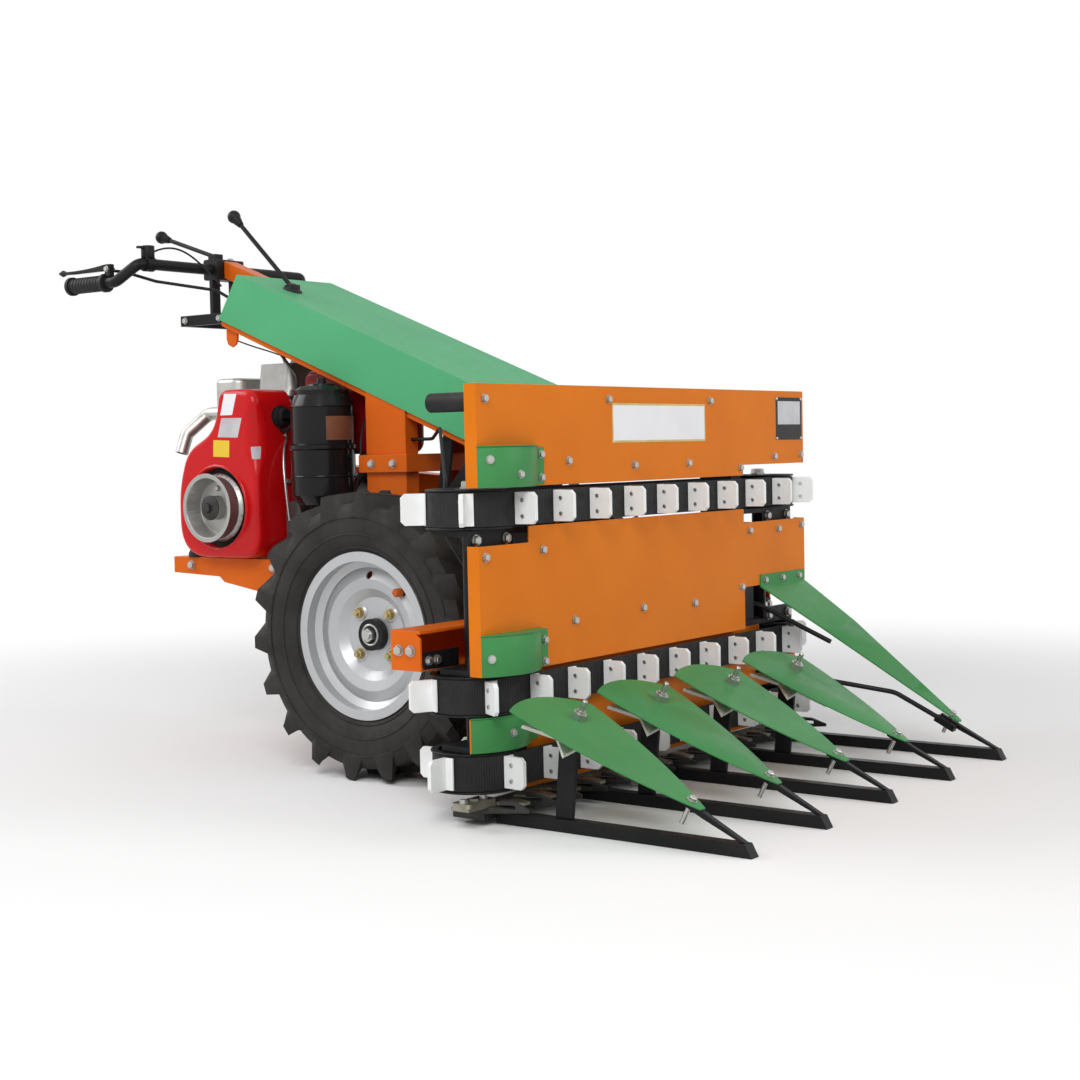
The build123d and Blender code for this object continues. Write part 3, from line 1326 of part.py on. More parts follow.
# Leaves: pointed plates with curved sides, wider on the near side
leaf_long = hypot(LEAF_TIP_X - LEAF_X, LEAF_Z - LEAF_TIP_Z)
leaf_near = (-LEAF_BACK, -LEAF_NEAR)
leaf_far = (-LEAF_BACK / 2, LEAF_FAR)
leaf_tips = [(leaf_long, LEAF_TIP_HALF), (leaf_long, -LEAF_TIP_HALF)]
with BuildPart() as leaves:
    for y in leaf_ys:
        with BuildSketch(leaf_plane(y)):
            with BuildLine():
                ThreePointArc(leaf_near, (-1.3 * LEAF_BACK, -LEAF_FAR / 4), leaf_far)
                ThreePointArc(leaf_far, (0.4 * leaf_long, 0.78 * LEAF_FAR), leaf_tips[0])
                Line(*leaf_tips)
                ThreePointArc(leaf_tips[1], (0.4 * leaf_long, -0.68 * LEAF_NEAR), leaf_near)
            make_face()
            Circle(STAR_PIN_R + SEAT_GAP, mode=Mode.SUBTRACT)
    extrude(amount=LEAF_T)
finish(leaves, "leaves")

with BuildPart() as star_pins:
    for y in leaf_ys:
        with BuildSketch(leaf_plane(y, pin_depth)):
            Circle(PIN_FOOT_R)
        extrude(amount=PIN_FOOT_T)
        with BuildSketch(leaf_plane(y, pin_depth)):
            Circle(STAR_PIN_R)
        extrude(amount=pin_depth + LEAF_T + 16)
        with BuildSketch(leaf_plane(y, STAR_SPACER)):
            Circle(STAR_PIN_R + 5)
        extrude(amount=STAR_SPACER)
        with BuildSketch(leaf_plane(y, -LEAF_T)):
            RegularPolygon(13, 6)
        extrude(amount=12)
finish(star_pins, "star_pins")

star_outline = []
for n in range(STAR_POINTS):
    a = 2 * pi * n / STAR_POINTS
    b = a + pi / STAR_POINTS
    star_outline.append((STAR_R * cos(a), STAR_R * sin(a)))
    star_outline.append((STAR_ROOT * STAR_R * cos(b), STAR_ROOT * STAR_R * sin(b)))
for n, y in enumerate(leaf_ys):
    with BuildPart() as star_wheel:
        with BuildSketch(leaf_plane(y, STAR_SPACER + END_GAP + STAR_HUB_H)):
            Circle(STAR_HUB_R)
        extrude(amount=STAR_HUB_H)
        with BuildSketch(leaf_plane(y, STAR_SPACER + END_GAP + STAR_HUB_H / 2 + STAR_T / 2)):
            Polygon(*star_outline, align=None)
        extrude(amount=STAR_T)
        with BuildSketch(leaf_plane(y, STAR_SPACER + END_GAP + STAR_HUB_H)):
            Circle(STAR_PIN_R + RUN_GAP)
        extrude(amount=STAR_HUB_H, mode=Mode.SUBTRACT)
    finish(star_wheel, f"star_wheel_{n + 1}")

# End divider: a twisted sheet from a flange on the far tab down to the last shoe's rod
divider_in = HEADER_HALF - DIVIDER_IN
divider_out = HEADER_HALF - DIVIDER_OUT
divider_x = PANEL_FACE + SEAT_GAP
divider_root_z = FAR_TAB_LOW - DIVIDER_T
divider_tip_z = LEAF_TIP_Z + DIVIDER_T
neck_x = divider_x + DIVIDER_NECK * (LEAF_TIP_X - divider_x)
neck_z = divider_root_z + DIVIDER_NECK * (divider_tip_z - divider_root_z)
neck_in = divider_in + DIVIDER_NECK * (shoe_ys[4] - divider_in)
neck_out = divider_out + 1.5 * DIVIDER_NECK * (shoe_ys[4] - divider_out)
divider_sections = [
    # x, inner y and z, outer y and z
    (divider_x, divider_in, divider_root_z, divider_out, divider_root_z),
    (neck_x, neck_in, neck_z, neck_out, neck_z + DIVIDER_LIFT),
    (LEAF_TIP_X, shoe_ys[4] - DIVIDER_TIP_HALF, divider_tip_z, shoe_ys[4] + DIVIDER_TIP_HALF, divider_tip_z),
]
with BuildPart() as end_divider:
    for x, y_in, z_in, y_out, z_out in divider_sections:
        with BuildSketch(across(x)):
            Polygon(
                (y_in, z_in), (y_out, z_out), (y_out, z_out + DIVIDER_T), (y_in, z_in + DIVIDER_T), align=None
            )
    loft(ruled=True)
    with BuildSketch(across(divider_x)):
        Polygon(
            (divider_in, divider_root_z),
            (divider_out, divider_root_z),
            (divider_out, FAR_TAB_LOW + DIVIDER_FLANGE),
            (divider_in, FAR_TAB_LOW + DIVIDER_FLANGE),
            align=None,
        )
    extrude(amount=SHEET)
finish(end_divider, "end_divider")

# Guide rods: a stay from the upright under the divider, and a crop guide from the skirt to a clamp at its tip
stay_z = FAR_TAB_LOW - 8 * GUIDE_R
guide_z = (BELT_ZS["middle"] + BELT_ZS["lower"]) / 2
clamp_x = LEAF_TIP_X - CLAMP_LONG / 2
clamp_y = shoe_ys[4] - NOSE_ROD_R - SEAT_GAP - CLAMP_SIZE / 2
stay_route = [
    (UPRIGHT_FRONT, UPRIGHT_Y + UPRIGHT_W / 2 + SEAT_GAP, stay_z),
    (UPRIGHT_FRONT, UPRIGHT_Y + UPRIGHT_W + GUIDE_BEND / 2, stay_z),
    (neck_x, neck_in, neck_z - 3 * GUIDE_R),
]
guide_route = [
    (UPRIGHT_FRONT + SHEET + SEAT_GAP, DRUM_Y - DRUM_R - 2 * CLAMP_SIZE, guide_z),
    (LEAF_X - GUIDE_BEND, DRUM_Y - DRUM_R - 2 * CLAMP_SIZE, guide_z),
    (LEAF_X + 2 * GUIDE_BEND, (DRUM_Y + clamp_y - DRUM_R) / 2, guide_z - GUIDE_BEND / 2),
    (clamp_x, clamp_y, LEAF_TIP_Z + leaf_slope * CLAMP_LONG / 2 - CLAMP_SIZE / 2),
]
with BuildPart() as guide_rods:
    tube(stay_route, GUIDE_R, GUIDE_BEND / 2)
    tube(guide_route, GUIDE_R, GUIDE_BEND)
    with BuildSketch(leaf_plane(clamp_y, CLAMP_SIZE)):
        with Locations((leaf_long - CLAMP_LONG / 2, 0)):
            Rectangle(CLAMP_LONG, CLAMP_SIZE)
    extrude(amount=CLAMP_SIZE - SHEET)
finish(guide_rods, "guide_rods")

# Control cables: throttle to the engine, clutch to the gear tower, and the header's clutch to the cross beam
lever_side = GRIP_Y - LEVER_W / 2 - SEAT_GAP
lever_x = grip_front + LEVER_CLAMP / 2
lever_z = lever_seat + LEVER_W
cable_low = beam_low + 6 * CABLE_R


def under_hood(x, y):
    """Point of a cable that runs along under the handle column."""
    return (x, y, hood_z(x) - cable_low)


throttle_route = [
    (lever_x, -lever_side, lever_z),
    (lever_x, -lever_side + 34, lever_z),
    (bar_x, -lever_side + 70, lever_z - 24),
    (hood_rear_low - 40, -HOOD_HALF + 34, lever_z - 46),
    under_hood(HOOD_REAR, -HOOD_HALF + 44),
    (CRANK_X + 60, -HOOD_HALF + 46, COVER_TOP + 30),
    (CRANK_X + 160, shroud_back - 14, SHROUD_TOP + 24),
    (CRANK_X + 164, shroud_back - 34, SHROUD_TOP - 90),
    (shroud_flank(SHROUD_TOP - 90) + SEAT_GAP, shroud_back - 34, SHROUD_TOP - 90),
]
clutch_route = [
    (lever_x, lever_side, lever_z),
    (lever_x, lever_side - 34, lever_z),
    (bar_x, lever_side - 76, lever_z - 24),
    (hood_rear_low - 40, 96, lever_z - 46),
    under_hood(HOOD_REAR, 62),
    under_hood(POST_FRONT, 60),
    (TOWER_X, 58, TOWER_TOP + 120),
    (TOWER_X, 58, TOWER_TOP + SEAT_GAP),
]
header_low = hood_z(POST_FRONT) - HOOD_SIDE - 2 * CHORD_SIZE
header_route = [
    (POST_FRONT + SEAT_GAP, CHORD_SIZE / 2 - CHORD_OUT, header_low),
    (POST_FRONT + 56, CHORD_SIZE / 2 - CHORD_OUT, header_low),
    (POST_FRONT + 170, -post_out - 90, header_low + 20),
    (POST_FRONT + 290, -post_out - 220, TOWER_TOP + 30),
    (POST_FRONT + 312, -post_out - 256, TOWER_TOP - 60),
    (beam_mid[0], -post_out - 264, TOWER_TOP - 150),
    (beam_mid[0], -post_out - 264, CROSSBEAM_HIGH + SEAT_GAP),
]
with BuildPart() as control_cables:
    for route in (throttle_route, clutch_route, header_route):
        tube(route, CABLE_R, CABLE_BEND)
finish(control_cables, "control_cables")

# Near-end belt guards: bent plates above each belt's front corner
guard_in = GUARD_W - HEADER_HALF
guard_mid = GUARD_W / 2 - HEADER_HALF
guard_seats = [
    # x of the seat, height of the lower edge, height
    (PANEL_FACE, TOP_PANEL_LOW, GUARD_H),
    (PANEL_FACE, LOW_PANEL_LOW, GUARD_H),
    (UPRIGHT_FRONT + SHEET, strip_mid - strip_gap / 2 + GUARD_GAP, strip_gap - 2 * GUARD_GAP),
]
with BuildPart() as belt_guards:
    for seat_x, z, height in guard_seats:
        with BuildSketch(level(z)):
            with BuildLine():
                ThreePointArc((seat_x, -HEADER_HALF), (seat_x + GUARD_BULGE, guard_mid), (seat_x, guard_in))
                Line((seat_x, guard_in), (seat_x, -HEADER_HALF))
            make_face()
        extrude(amount=height)
        with BuildSketch(level(z)):
            with BuildLine():
                inset = 2 * SHEET
                ThreePointArc(
                    (seat_x, -HEADER_HALF + inset),
                    (seat_x + GUARD_BULGE - SHEET, guard_mid),
                    (seat_x, guard_in - inset),
                )
                Line((seat_x, guard_in - inset), (seat_x, -HEADER_HALF + inset))
            make_face()
        extrude(amount=height - SHEET, mode=Mode.SUBTRACT)
finish(belt_guards, "belt_guards")

# Lifting grips at the top corners of the header
with BuildPart() as lifting_grips:
    for hand in (-1, 1):
        with BuildSketch(across(panel_back)):
            with Locations((hand * (HEADER_HALF - 35), PANEL_TOP - 30)):
                Circle(GRIP_R)
        extrude(amount=-125)
finish(lifting_grips, "lifting_grips")

# One guard finger: a pointed casting with a lip that holds the knife down
knife_z = FINGER_HIGH + KNIFE_GAP
lip_low = knife_z + KNIFE_T + FINGER_LIP_GAP
finger_root = BAR_FRONT - FINGER_W
with BuildPart() as finger:
    with BuildSketch(side(FINGER_W / 2)):
        Polygon(
            (finger_root, BAR_HIGH),
            (BAR_FRONT, BAR_HIGH),
            (FINGER_TIP, FINGER_HIGH - FINGER_LIP / 2),
            (FINGER_TIP, FINGER_HIGH + FINGER_LIP / 2),
            (KNIFE_TIP, lip_low + FINGER_LIP),
            (KNIFE_TIP - FINGER_W, lip_low + FINGER_LIP),
            (KNIFE_TIP - FINGER_W, lip_low),
            (KNIFE_TIP + FINGER_LIP, lip_low),
            (KNIFE_TIP + FINGER_LIP, FINGER_HIGH),
            (finger_root, FINGER_HIGH),
            align=None,
        )
    extrude(amount=FINGER_W)
    with BuildSketch(level(0)):
        Polygon(
            (finger_root, -FINGER_W / 2),
            (BAR_FRONT, -FINGER_W / 2),
            (BAR_FRONT + FINGER_W / 2, -FINGER_W / 4),
            (FINGER_TIP, -FINGER_LIP / 3),
            (FINGER_TIP, FINGER_LIP / 3),
            (BAR_FRONT + FINGER_W / 2, FINGER_W / 4),
            (BAR_FRONT, FINGER_W / 2),
            (finger_root, FINGER_W / 2),
            align=None,
        )
    extrude(amount=lip_low + 2 * FINGER_LIP, mode=Mode.INTERSECT)

# Cutter bar with its row of fingers, and the toothed knife that slides across them
finger_ys = [FINGER_PITCH * (n - (FINGER_COUNT - 1) / 2) for n in range(FINGER_COUNT)]
with BuildPart() as cutter_bar:
    with BuildSketch(level(BAR_LOW)):
        with Locations(((BAR_REAR + BAR_FRONT) / 2, 0)):
            Rectangle(BAR_FRONT - BAR_REAR, 2 * BAR_HALF)
    extrude(amount=BAR_HIGH - BAR_LOW)
    with Locations(*[(0, y, 0) for y in finger_ys]):
        add(finger.part)
finish(cutter_bar, "cutter_bar")

knife_end = BAR_HALF - FINGER_PITCH / 2
knife_head_y = -BAR_HALF - KNIFE_HEAD_OUT + KNIFE_HEAD_LONG / 2
with BuildPart() as knife:
    with BuildSketch(level(knife_z)):
        with Locations((BAR_FRONT - KNIFE_BAR / 2 - SHEET, 0)):
            Rectangle(KNIFE_BAR, 2 * knife_end)
        for y in finger_ys[:-1]:
            Polygon(
                (BAR_FRONT - KNIFE_BAR / 2, y + SHEET),
                (KNIFE_TIP, y + FINGER_PITCH / 2 - KNIFE_BOLT_R),
                (KNIFE_TIP, y + FINGER_PITCH / 2 + KNIFE_BOLT_R),
                (BAR_FRONT - KNIFE_BAR / 2, y + FINGER_PITCH - SHEET),
                align=None,
            )
        with Locations((BAR_FRONT - KNIFE_BAR / 2, knife_head_y)):
            Rectangle(2 * KNIFE_BAR, KNIFE_HEAD_LONG)
    extrude(amount=KNIFE_T)
    with BuildSketch(level(knife_z + KNIFE_T)):
        with Locations((BAR_FRONT - KNIFE_BAR / 2, knife_head_y)):
            RectangleRounded(2 * KNIFE_BAR, KNIFE_HEAD_LONG, KNIFE_BOLT_R)
    extrude(amount=KNIFE_HEAD_T)
    with BuildSketch(level(knife_z + KNIFE_T + KNIFE_HEAD_T)):
        with Locations((BAR_FRONT - KNIFE_BAR / 2, knife_head_y)):
            RegularPolygon(KNIFE_BOLT_R, 6)
    extrude(amount=KNIFE_BOLT_H)
finish(knife, "knife")
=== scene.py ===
# %% [markdown]
# Walk-behind reaper: finish, small fittings, light and camera
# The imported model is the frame: every piece below is in metres, in the same frame, X forward,
# Y to the machine's left, Z up and the ground at zero. The frame's own pieces are never moved.

# %% Load the frame
import math
import bmesh
import bpy
from mathutils import Matrix, Vector


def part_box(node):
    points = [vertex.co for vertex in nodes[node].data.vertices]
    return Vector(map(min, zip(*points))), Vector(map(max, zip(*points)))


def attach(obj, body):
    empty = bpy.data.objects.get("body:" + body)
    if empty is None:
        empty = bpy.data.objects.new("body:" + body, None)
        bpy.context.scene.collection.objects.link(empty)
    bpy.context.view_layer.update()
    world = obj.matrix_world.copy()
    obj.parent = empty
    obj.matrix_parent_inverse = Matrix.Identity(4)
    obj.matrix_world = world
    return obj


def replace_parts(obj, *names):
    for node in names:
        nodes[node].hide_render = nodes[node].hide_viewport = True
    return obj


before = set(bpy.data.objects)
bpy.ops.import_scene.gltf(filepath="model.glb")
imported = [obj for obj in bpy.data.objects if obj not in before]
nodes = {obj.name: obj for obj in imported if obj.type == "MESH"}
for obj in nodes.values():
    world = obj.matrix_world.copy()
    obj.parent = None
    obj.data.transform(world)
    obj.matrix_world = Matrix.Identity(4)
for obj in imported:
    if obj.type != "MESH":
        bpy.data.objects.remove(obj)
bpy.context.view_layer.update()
scene = bpy.context.scene

# %% [markdown]
# Every finish starts from the same shader and gets its own noise on Object coordinates, so that the grain
# keeps its size in metres on every piece. A UV map could carry the grain too, but the frame's pieces have
# none, and Object coordinates need none. Each helper adds one node, so that a finish reads as a short
# recipe.


# %% Material helpers
def start_finish(name):
    """New material, with its tree and shader, and the Object coordinates that its grain reads."""
    material = bpy.data.materials.new(name)
    material.use_nodes = True
    tree = material.node_tree
    shader = tree.nodes["Principled BSDF"]
    place = tree.nodes.new("ShaderNodeTexCoord").outputs["Object"]
    return material, tree, shader, place


def grain(tree, place, scale, detail=3.0):
    """Noise with so many cells to the metre."""
    noise = tree.nodes.new("ShaderNodeTexNoise")
    noise.inputs["Scale"].default_value = scale
    noise.inputs["Detail"].default_value = detail
    tree.links.new(place, noise.inputs["Vector"])
    return noise.outputs["Fac"]


def blend_colours(tree, factor, first, second, low=0.35, high=0.65):
    """Colour that goes from first to second as the factor goes from low to high."""
    ramp = tree.nodes.new("ShaderNodeValToRGB")
    ramp.color_ramp.elements[0].position = low
    ramp.color_ramp.elements[0].color = (*first, 1)
    ramp.color_ramp.elements[1].position = high
    ramp.color_ramp.elements[1].color = (*second, 1)
    tree.links.new(factor, ramp.inputs["Fac"])
    return ramp.outputs["Color"]


def spread(tree, factor, low, high):
    """The factor's middle range mapped onto low to high."""
    mapper = tree.nodes.new("ShaderNodeMapRange")
    mapper.inputs["From Min"].default_value = 0.3
    mapper.inputs["From Max"].default_value = 0.7
    mapper.inputs["To Min"].default_value = low
    mapper.inputs["To Max"].default_value = high
    tree.links.new(factor, mapper.inputs["Value"])
    return mapper.outputs["Result"]


def relief(tree, shader, height, strength, distance=0.0005):
    """Bump of the given depth in metres on the shader."""
    bump = tree.nodes.new("ShaderNodeBump")
    bump.inputs["Strength"].default_value = strength
    bump.inputs["Distance"].default_value = distance
    tree.links.new(height, bump.inputs["Height"])
    tree.links.new(bump.outputs["Normal"], shader.inputs["Normal"])


finishes = {}
print("material helpers ready")

# %% [markdown]
# Paint on steel: sprayed enamel has a slow drift of tone, a fine orange peel and an uneven gloss. One
# flat colour could do, but it would look like plastic, so tone, gloss and relief each read their own
# noise. The engine's red and the filter's black are glossier, and the wheels' silver has metal flakes in
# it.


# %% Paints
def paint(name, colour, drift, gloss=(0.3, 0.42), peel=0.05, coat=0.02, sheen=0.12, metallic=0.0):
    """Enamel: drifting colour, uneven gloss, orange peel, clear coat, mirror strength and metal flakes."""
    material, tree, shader, place = start_finish(name)
    slow = grain(tree, place, 5.0, 4.0)
    tree.links.new(blend_colours(tree, slow, colour, drift), shader.inputs["Base Color"])
    tree.links.new(spread(tree, grain(tree, place, 38.0), *gloss), shader.inputs["Roughness"])
    relief(tree, shader, grain(tree, place, 420.0, 2.0), peel)
    shader.inputs["Coat Weight"].default_value = coat
    shader.inputs["Coat Roughness"].default_value = 0.12
    shader.inputs["Specular IOR Level"].default_value = sheen
    shader.inputs["Metallic"].default_value = metallic
    finishes[name] = material


GLOSSY = {"peel": 0.02, "coat": 0.12, "sheen": 0.16}
paint("panel_orange", (0.70, 0.182, 0.007), (0.65, 0.162, 0.005))
paint("frame_orange", (0.68, 0.13, 0.007), (0.60, 0.102, 0.005))
paint("hood_green", (0.090, 0.40, 0.185), (0.080, 0.365, 0.165), (0.46, 0.52))
paint("leaf_green", (0.06, 0.26, 0.082), (0.048, 0.22, 0.066))
paint("engine_red", (0.58, 0.006, 0.008), (0.50, 0.004, 0.006), (0.16, 0.24), **GLOSSY)
paint("tank_red", (0.30, 0.006, 0.008), (0.24, 0.004, 0.006), (0.16, 0.26), **GLOSSY)
paint("gloss_black", (0.006, 0.006, 0.007), (0.010, 0.010, 0.011), (0.14, 0.22), 0.03, 0.1, 0.16)
paint("satin_black", (0.008, 0.008, 0.009), (0.014, 0.014, 0.015), (0.36, 0.5), 0.08, 0.0, 0.16)
paint("wheel_silver", (0.50, 0.51, 0.52), (0.45, 0.46, 0.47), (0.30, 0.42), 0.05, 0.2, 0.5, 0.45)
print("paints", sorted(finishes))

# %% [markdown]
# Bare metal: sand-cast alloy and iron keep the sand's grain, and plated steel is smoother with a faint
# cloudiness. Each could have a tree of its own, but they differ only in scale, depth and roughness, so
# one recipe makes them all.


# %% Metals
def metal(name, colour, drift, rough, grain_scale, depth, metallic=0.9):
    """Cast or plated metal: clouded colour, uneven roughness and the grain of its surface."""
    material, tree, shader, place = start_finish(name)
    cloud = grain(tree, place, 24.0, 5.0)
    tree.links.new(blend_colours(tree, cloud, colour, drift), shader.inputs["Base Color"])
    tree.links.new(spread(tree, grain(tree, place, 90.0), *rough), shader.inputs["Roughness"])
    relief(tree, shader, grain(tree, place, grain_scale, 4.0), depth)
    shader.inputs["Metallic"].default_value = metallic
    finishes[name] = material


metal("cast_alloy", (0.36, 0.36, 0.35), (0.31, 0.31, 0.30), (0.45, 0.56), 520.0, 0.25, 0.8)
metal("dark_alloy", (0.13, 0.13, 0.13), (0.108, 0.106, 0.103), (0.48, 0.58), 480.0, 0.3, 0.7)
metal("cast_iron", (0.045, 0.044, 0.042), (0.028, 0.027, 0.026), (0.5, 0.68), 380.0, 0.4, 0.5)
metal("zinc_steel", (0.50, 0.50, 0.48), (0.42, 0.42, 0.40), (0.26, 0.36), 700.0, 0.05)
metal("turned_alloy", (0.40, 0.395, 0.38), (0.37, 0.365, 0.35), (0.36, 0.42), 900.0, 0.02)
metal("exhaust_steel", (0.52, 0.51, 0.48), (0.40, 0.39, 0.36), (0.3, 0.46), 420.0, 0.1)
metal("yellow_zinc", (0.46, 0.38, 0.20), (0.36, 0.29, 0.14), (0.26, 0.4), 600.0, 0.08)
metal("knife_steel", (0.36, 0.34, 0.28), (0.22, 0.20, 0.15), (0.34, 0.5), 300.0, 0.15)
metal("gilt", (0.62, 0.48, 0.20), (0.52, 0.40, 0.15), (0.3, 0.42), 500.0, 0.05, 0.6)
metal("plate_silver", (0.56, 0.56, 0.57), (0.48, 0.48, 0.50), (0.28, 0.4), 400.0, 0.04, 0.7)
print("metals added, finishes now", len(finishes))

# %% [markdown]
# Rubber and plastic: tyre rubber is almost black and matt, with a fine grain. The lugs are moulded from
# white nylon, which lets in some light, so a little of it is scattered below the surface. A plain white
# could stand for nylon, but its thin edges would look like chalk.


# %% Rubber and plastic
def moulded(name, colour, drift, rough, grain_scale, depth, scatter=0.0):
    """Rubber or plastic: cloudy colour, uneven roughness, fine grain and some light let in."""
    material, tree, shader, place = start_finish(name)
    cloud = grain(tree, place, 14.0, 5.0)
    tree.links.new(blend_colours(tree, cloud, colour, drift), shader.inputs["Base Color"])
    tree.links.new(spread(tree, grain(tree, place, 60.0), *rough), shader.inputs["Roughness"])
    relief(tree, shader, grain(tree, place, grain_scale, 3.0), depth)
    shader.inputs["Specular IOR Level"].default_value = 0.2
    shader.inputs["Subsurface Weight"].default_value = scatter
    shader.inputs["Subsurface Radius"].default_value = (0.004, 0.004, 0.003)
    finishes[name] = material


moulded("tyre_rubber", (0.020, 0.0185, 0.017), (0.033, 0.031, 0.028), (0.55, 0.75), 260.0, 0.2)
moulded("belt_rubber", (0.013, 0.013, 0.014), (0.022, 0.022, 0.022), (0.5, 0.68), 320.0, 0.15)
moulded("grip_rubber", (0.012, 0.012, 0.013), (0.02, 0.02, 0.02), (0.48, 0.62), 300.0, 0.1)
moulded("lug_nylon", (0.86, 0.87, 0.87), (0.80, 0.81, 0.80), (0.34, 0.48), 160.0, 0.05, 0.15)
moulded("star_nylon", (0.76, 0.75, 0.70), (0.66, 0.65, 0.59), (0.36, 0.5), 160.0, 0.05, 0.15)
moulded("cap_orange", (0.55, 0.12, 0.02), (0.45, 0.09, 0.015), (0.4, 0.55), 200.0, 0.05)
moulded("plate_white", (0.82, 0.82, 0.84), (0.78, 0.78, 0.81), (0.28, 0.36), 200.0, 0.02)
moulded("plate_yellow", (0.80, 0.56, 0.05), (0.74, 0.50, 0.04), (0.3, 0.4), 200.0, 0.02)
moulded("plate_copper", (0.20, 0.075, 0.04), (0.16, 0.06, 0.032), (0.32, 0.44), 200.0, 0.02)
print("rubbers and plastics added, finishes now", len(finishes))

# %% [markdown]
# Belt ribs: the flat belts are moulded with fine ribs across their run, which show best where a belt goes
# round its drum. Modelled ribs would be some thousand slivers, so the relief reads the length along the
# belt instead: across the machine on the straights, and the angle times the radius on the turns.


# %% Ribs on the belts
def calculate(tree, operation, *values):
    """Math node on sockets or numbers, in the order given."""
    node = tree.nodes.new("ShaderNodeMath")
    node.operation = operation
    for value, socket in zip(values, node.inputs):
        if isinstance(value, bpy.types.NodeSocket):
            tree.links.new(value, socket)
        else:
            socket.default_value = value
    return node.outputs["Value"]


DRUM_SPAN = 0.5
RIB_PITCH = 0.0045
belt_low, belt_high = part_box("belt_top")
drum_line = (belt_low.x + belt_high.x) / 2
belt_turn = (belt_high.x - belt_low.x) / 2
tree = finishes["belt_rubber"].node_tree
split = tree.nodes.new("ShaderNodeSeparateXYZ")
tree.links.new(tree.nodes["Texture Coordinate"].outputs["Object"], split.inputs["Vector"])
straight = calculate(tree, "MAXIMUM", split.outputs["Y"], -DRUM_SPAN)
straight = calculate(tree, "MINIMUM", straight, DRUM_SPAN)
past = calculate(tree, "SUBTRACT", split.outputs["Y"], straight)
depth = calculate(tree, "ABSOLUTE", calculate(tree, "SUBTRACT", split.outputs["X"], drum_line))
turned = calculate(tree, "MULTIPLY", calculate(tree, "ARCTAN2", past, depth), belt_turn)
along = calculate(tree, "ADD", straight, turned)
ribs = calculate(tree, "SINE", calculate(tree, "MULTIPLY", along, 2 * math.pi / RIB_PITCH))
relief(tree, tree.nodes["Principled BSDF"], ribs, 0.6, 0.0006)
print("belt ribs every", RIB_PITCH, "m, drums turn the belt at", round(belt_turn, 4), "m")

# %% [markdown]
# Dressing the frame: on the real machine each part was painted or plated before assembly, so each of the
# frame's pieces takes one finish. The finishes could be picked by hand in the editor, but a table shows
# at a glance which parts went through the same paint shop.

# %% Finish of every frame piece
NODE_FINISHES = {
    "panel_orange": ["top_panel", "lower_panel", "skirt"],
    "frame_orange": [
        "chassis_rails", "engine_bed", "deck", "posts", "post_collar", "handle_column", "drive_guard",
        "header_arms", "crossbeam",
    ],
    "hood_green": ["hood"],
    "leaf_green": ["leaves", "end_divider", "belt_guards"],
    "engine_red": ["engine_shroud"],
    "tank_red": ["fuel_tank"],
    "gloss_black": ["air_filter"],
    "satin_black": [
        "hub_right", "hub_left", "handlebar_right", "handlebar_left", "hand_levers", "gear_levers",
        "handle_head", "handle_hanger", "control_cables", "header_uprights", "drum_brackets", "shoe_bars",
        "shoe_posts", "nose_rods", "guide_rods", "drum_stacks", "tank_cap",
    ],
    "wheel_silver": ["rim_right", "rim_left"],
    "cast_alloy": ["cylinder_head"],
    "dark_alloy": ["engine_block"],
    "cast_iron": ["gearbox", "cutter_bar"],
    "zinc_steel": ["star_pins"],
    "turned_alloy": ["starter_pulley"],
    "exhaust_steel": ["muffler"],
    "knife_steel": ["knife"],
    "tyre_rubber": ["tyre_right", "tyre_left"],
    "belt_rubber": ["belt_top", "belt_middle", "belt_lower"],
    "grip_rubber": ["grips", "lifting_grips"],
    "lug_nylon": ["lugs_top", "lugs_middle", "lugs_lower"],
    "star_nylon": ["star_wheel_1", "star_wheel_2", "star_wheel_3", "star_wheel_4"],
}
dressed = set()
for finish, names in NODE_FINISHES.items():
    for name in names:
        dressed.add(name)
        nodes[name].data.materials.clear()
        nodes[name].data.materials.append(finishes[finish])
print("dressed", len(dressed), "pieces, without a finish:", sorted(set(nodes) - dressed))

# %% [markdown]
# Real edges are never razor sharp: cut and bent steel catches a line of light on every edge. The solids
# could carry these rounds, but they would be thousands of slivers there. A live bevel does it here, after
# the loose triangles are welded and the flat areas joined.


# %% Soft edges on the frame's plates and bars
def soften(name, radius):
    """Weld, join flat areas and bevel a frame piece's edges, without touching its mesh."""
    piece = nodes[name]
    weld = piece.modifiers.new("weld", "WELD")
    weld.merge_threshold = 0.00001
    flat = piece.modifiers.new("flat", "DECIMATE")
    flat.decimate_type = "DISSOLVE"
    flat.angle_limit = math.radians(0.5)
    edge = piece.modifiers.new("edge", "BEVEL")
    edge.width = radius
    edge.segments = 2
    edge.limit_method = "ANGLE"
    edge.angle_limit = math.radians(40)
    edge.harden_normals = True


SHEET_EDGE, BAR_EDGE, CAST_EDGE = 0.0008, 0.0015, 0.0025
EDGES = {
    SHEET_EDGE: [
        "top_panel", "lower_panel", "skirt", "hood", "leaves", "belt_guards", "lugs_top", "lugs_middle",
        "lugs_lower", "knife", "end_divider", "drum_brackets", "starter_pulley",
    ],
    BAR_EDGE: [
        "chassis_rails", "engine_bed", "deck", "posts", "post_collar", "handle_column", "header_arms",
        "crossbeam", "header_uprights", "shoe_bars", "shoe_posts", "nose_rods", "cutter_bar", "hand_levers",
        "handle_hanger", "drum_stacks", "cylinder_head", "engine_block",
    ],
    CAST_EDGE: ["tyre_right", "tyre_left", "gearbox"],
}
for radius, names in EDGES.items():
    for name in names:
        soften(name, radius)
print("softened", sum(len(names) for names in EDGES.values()), "pieces")

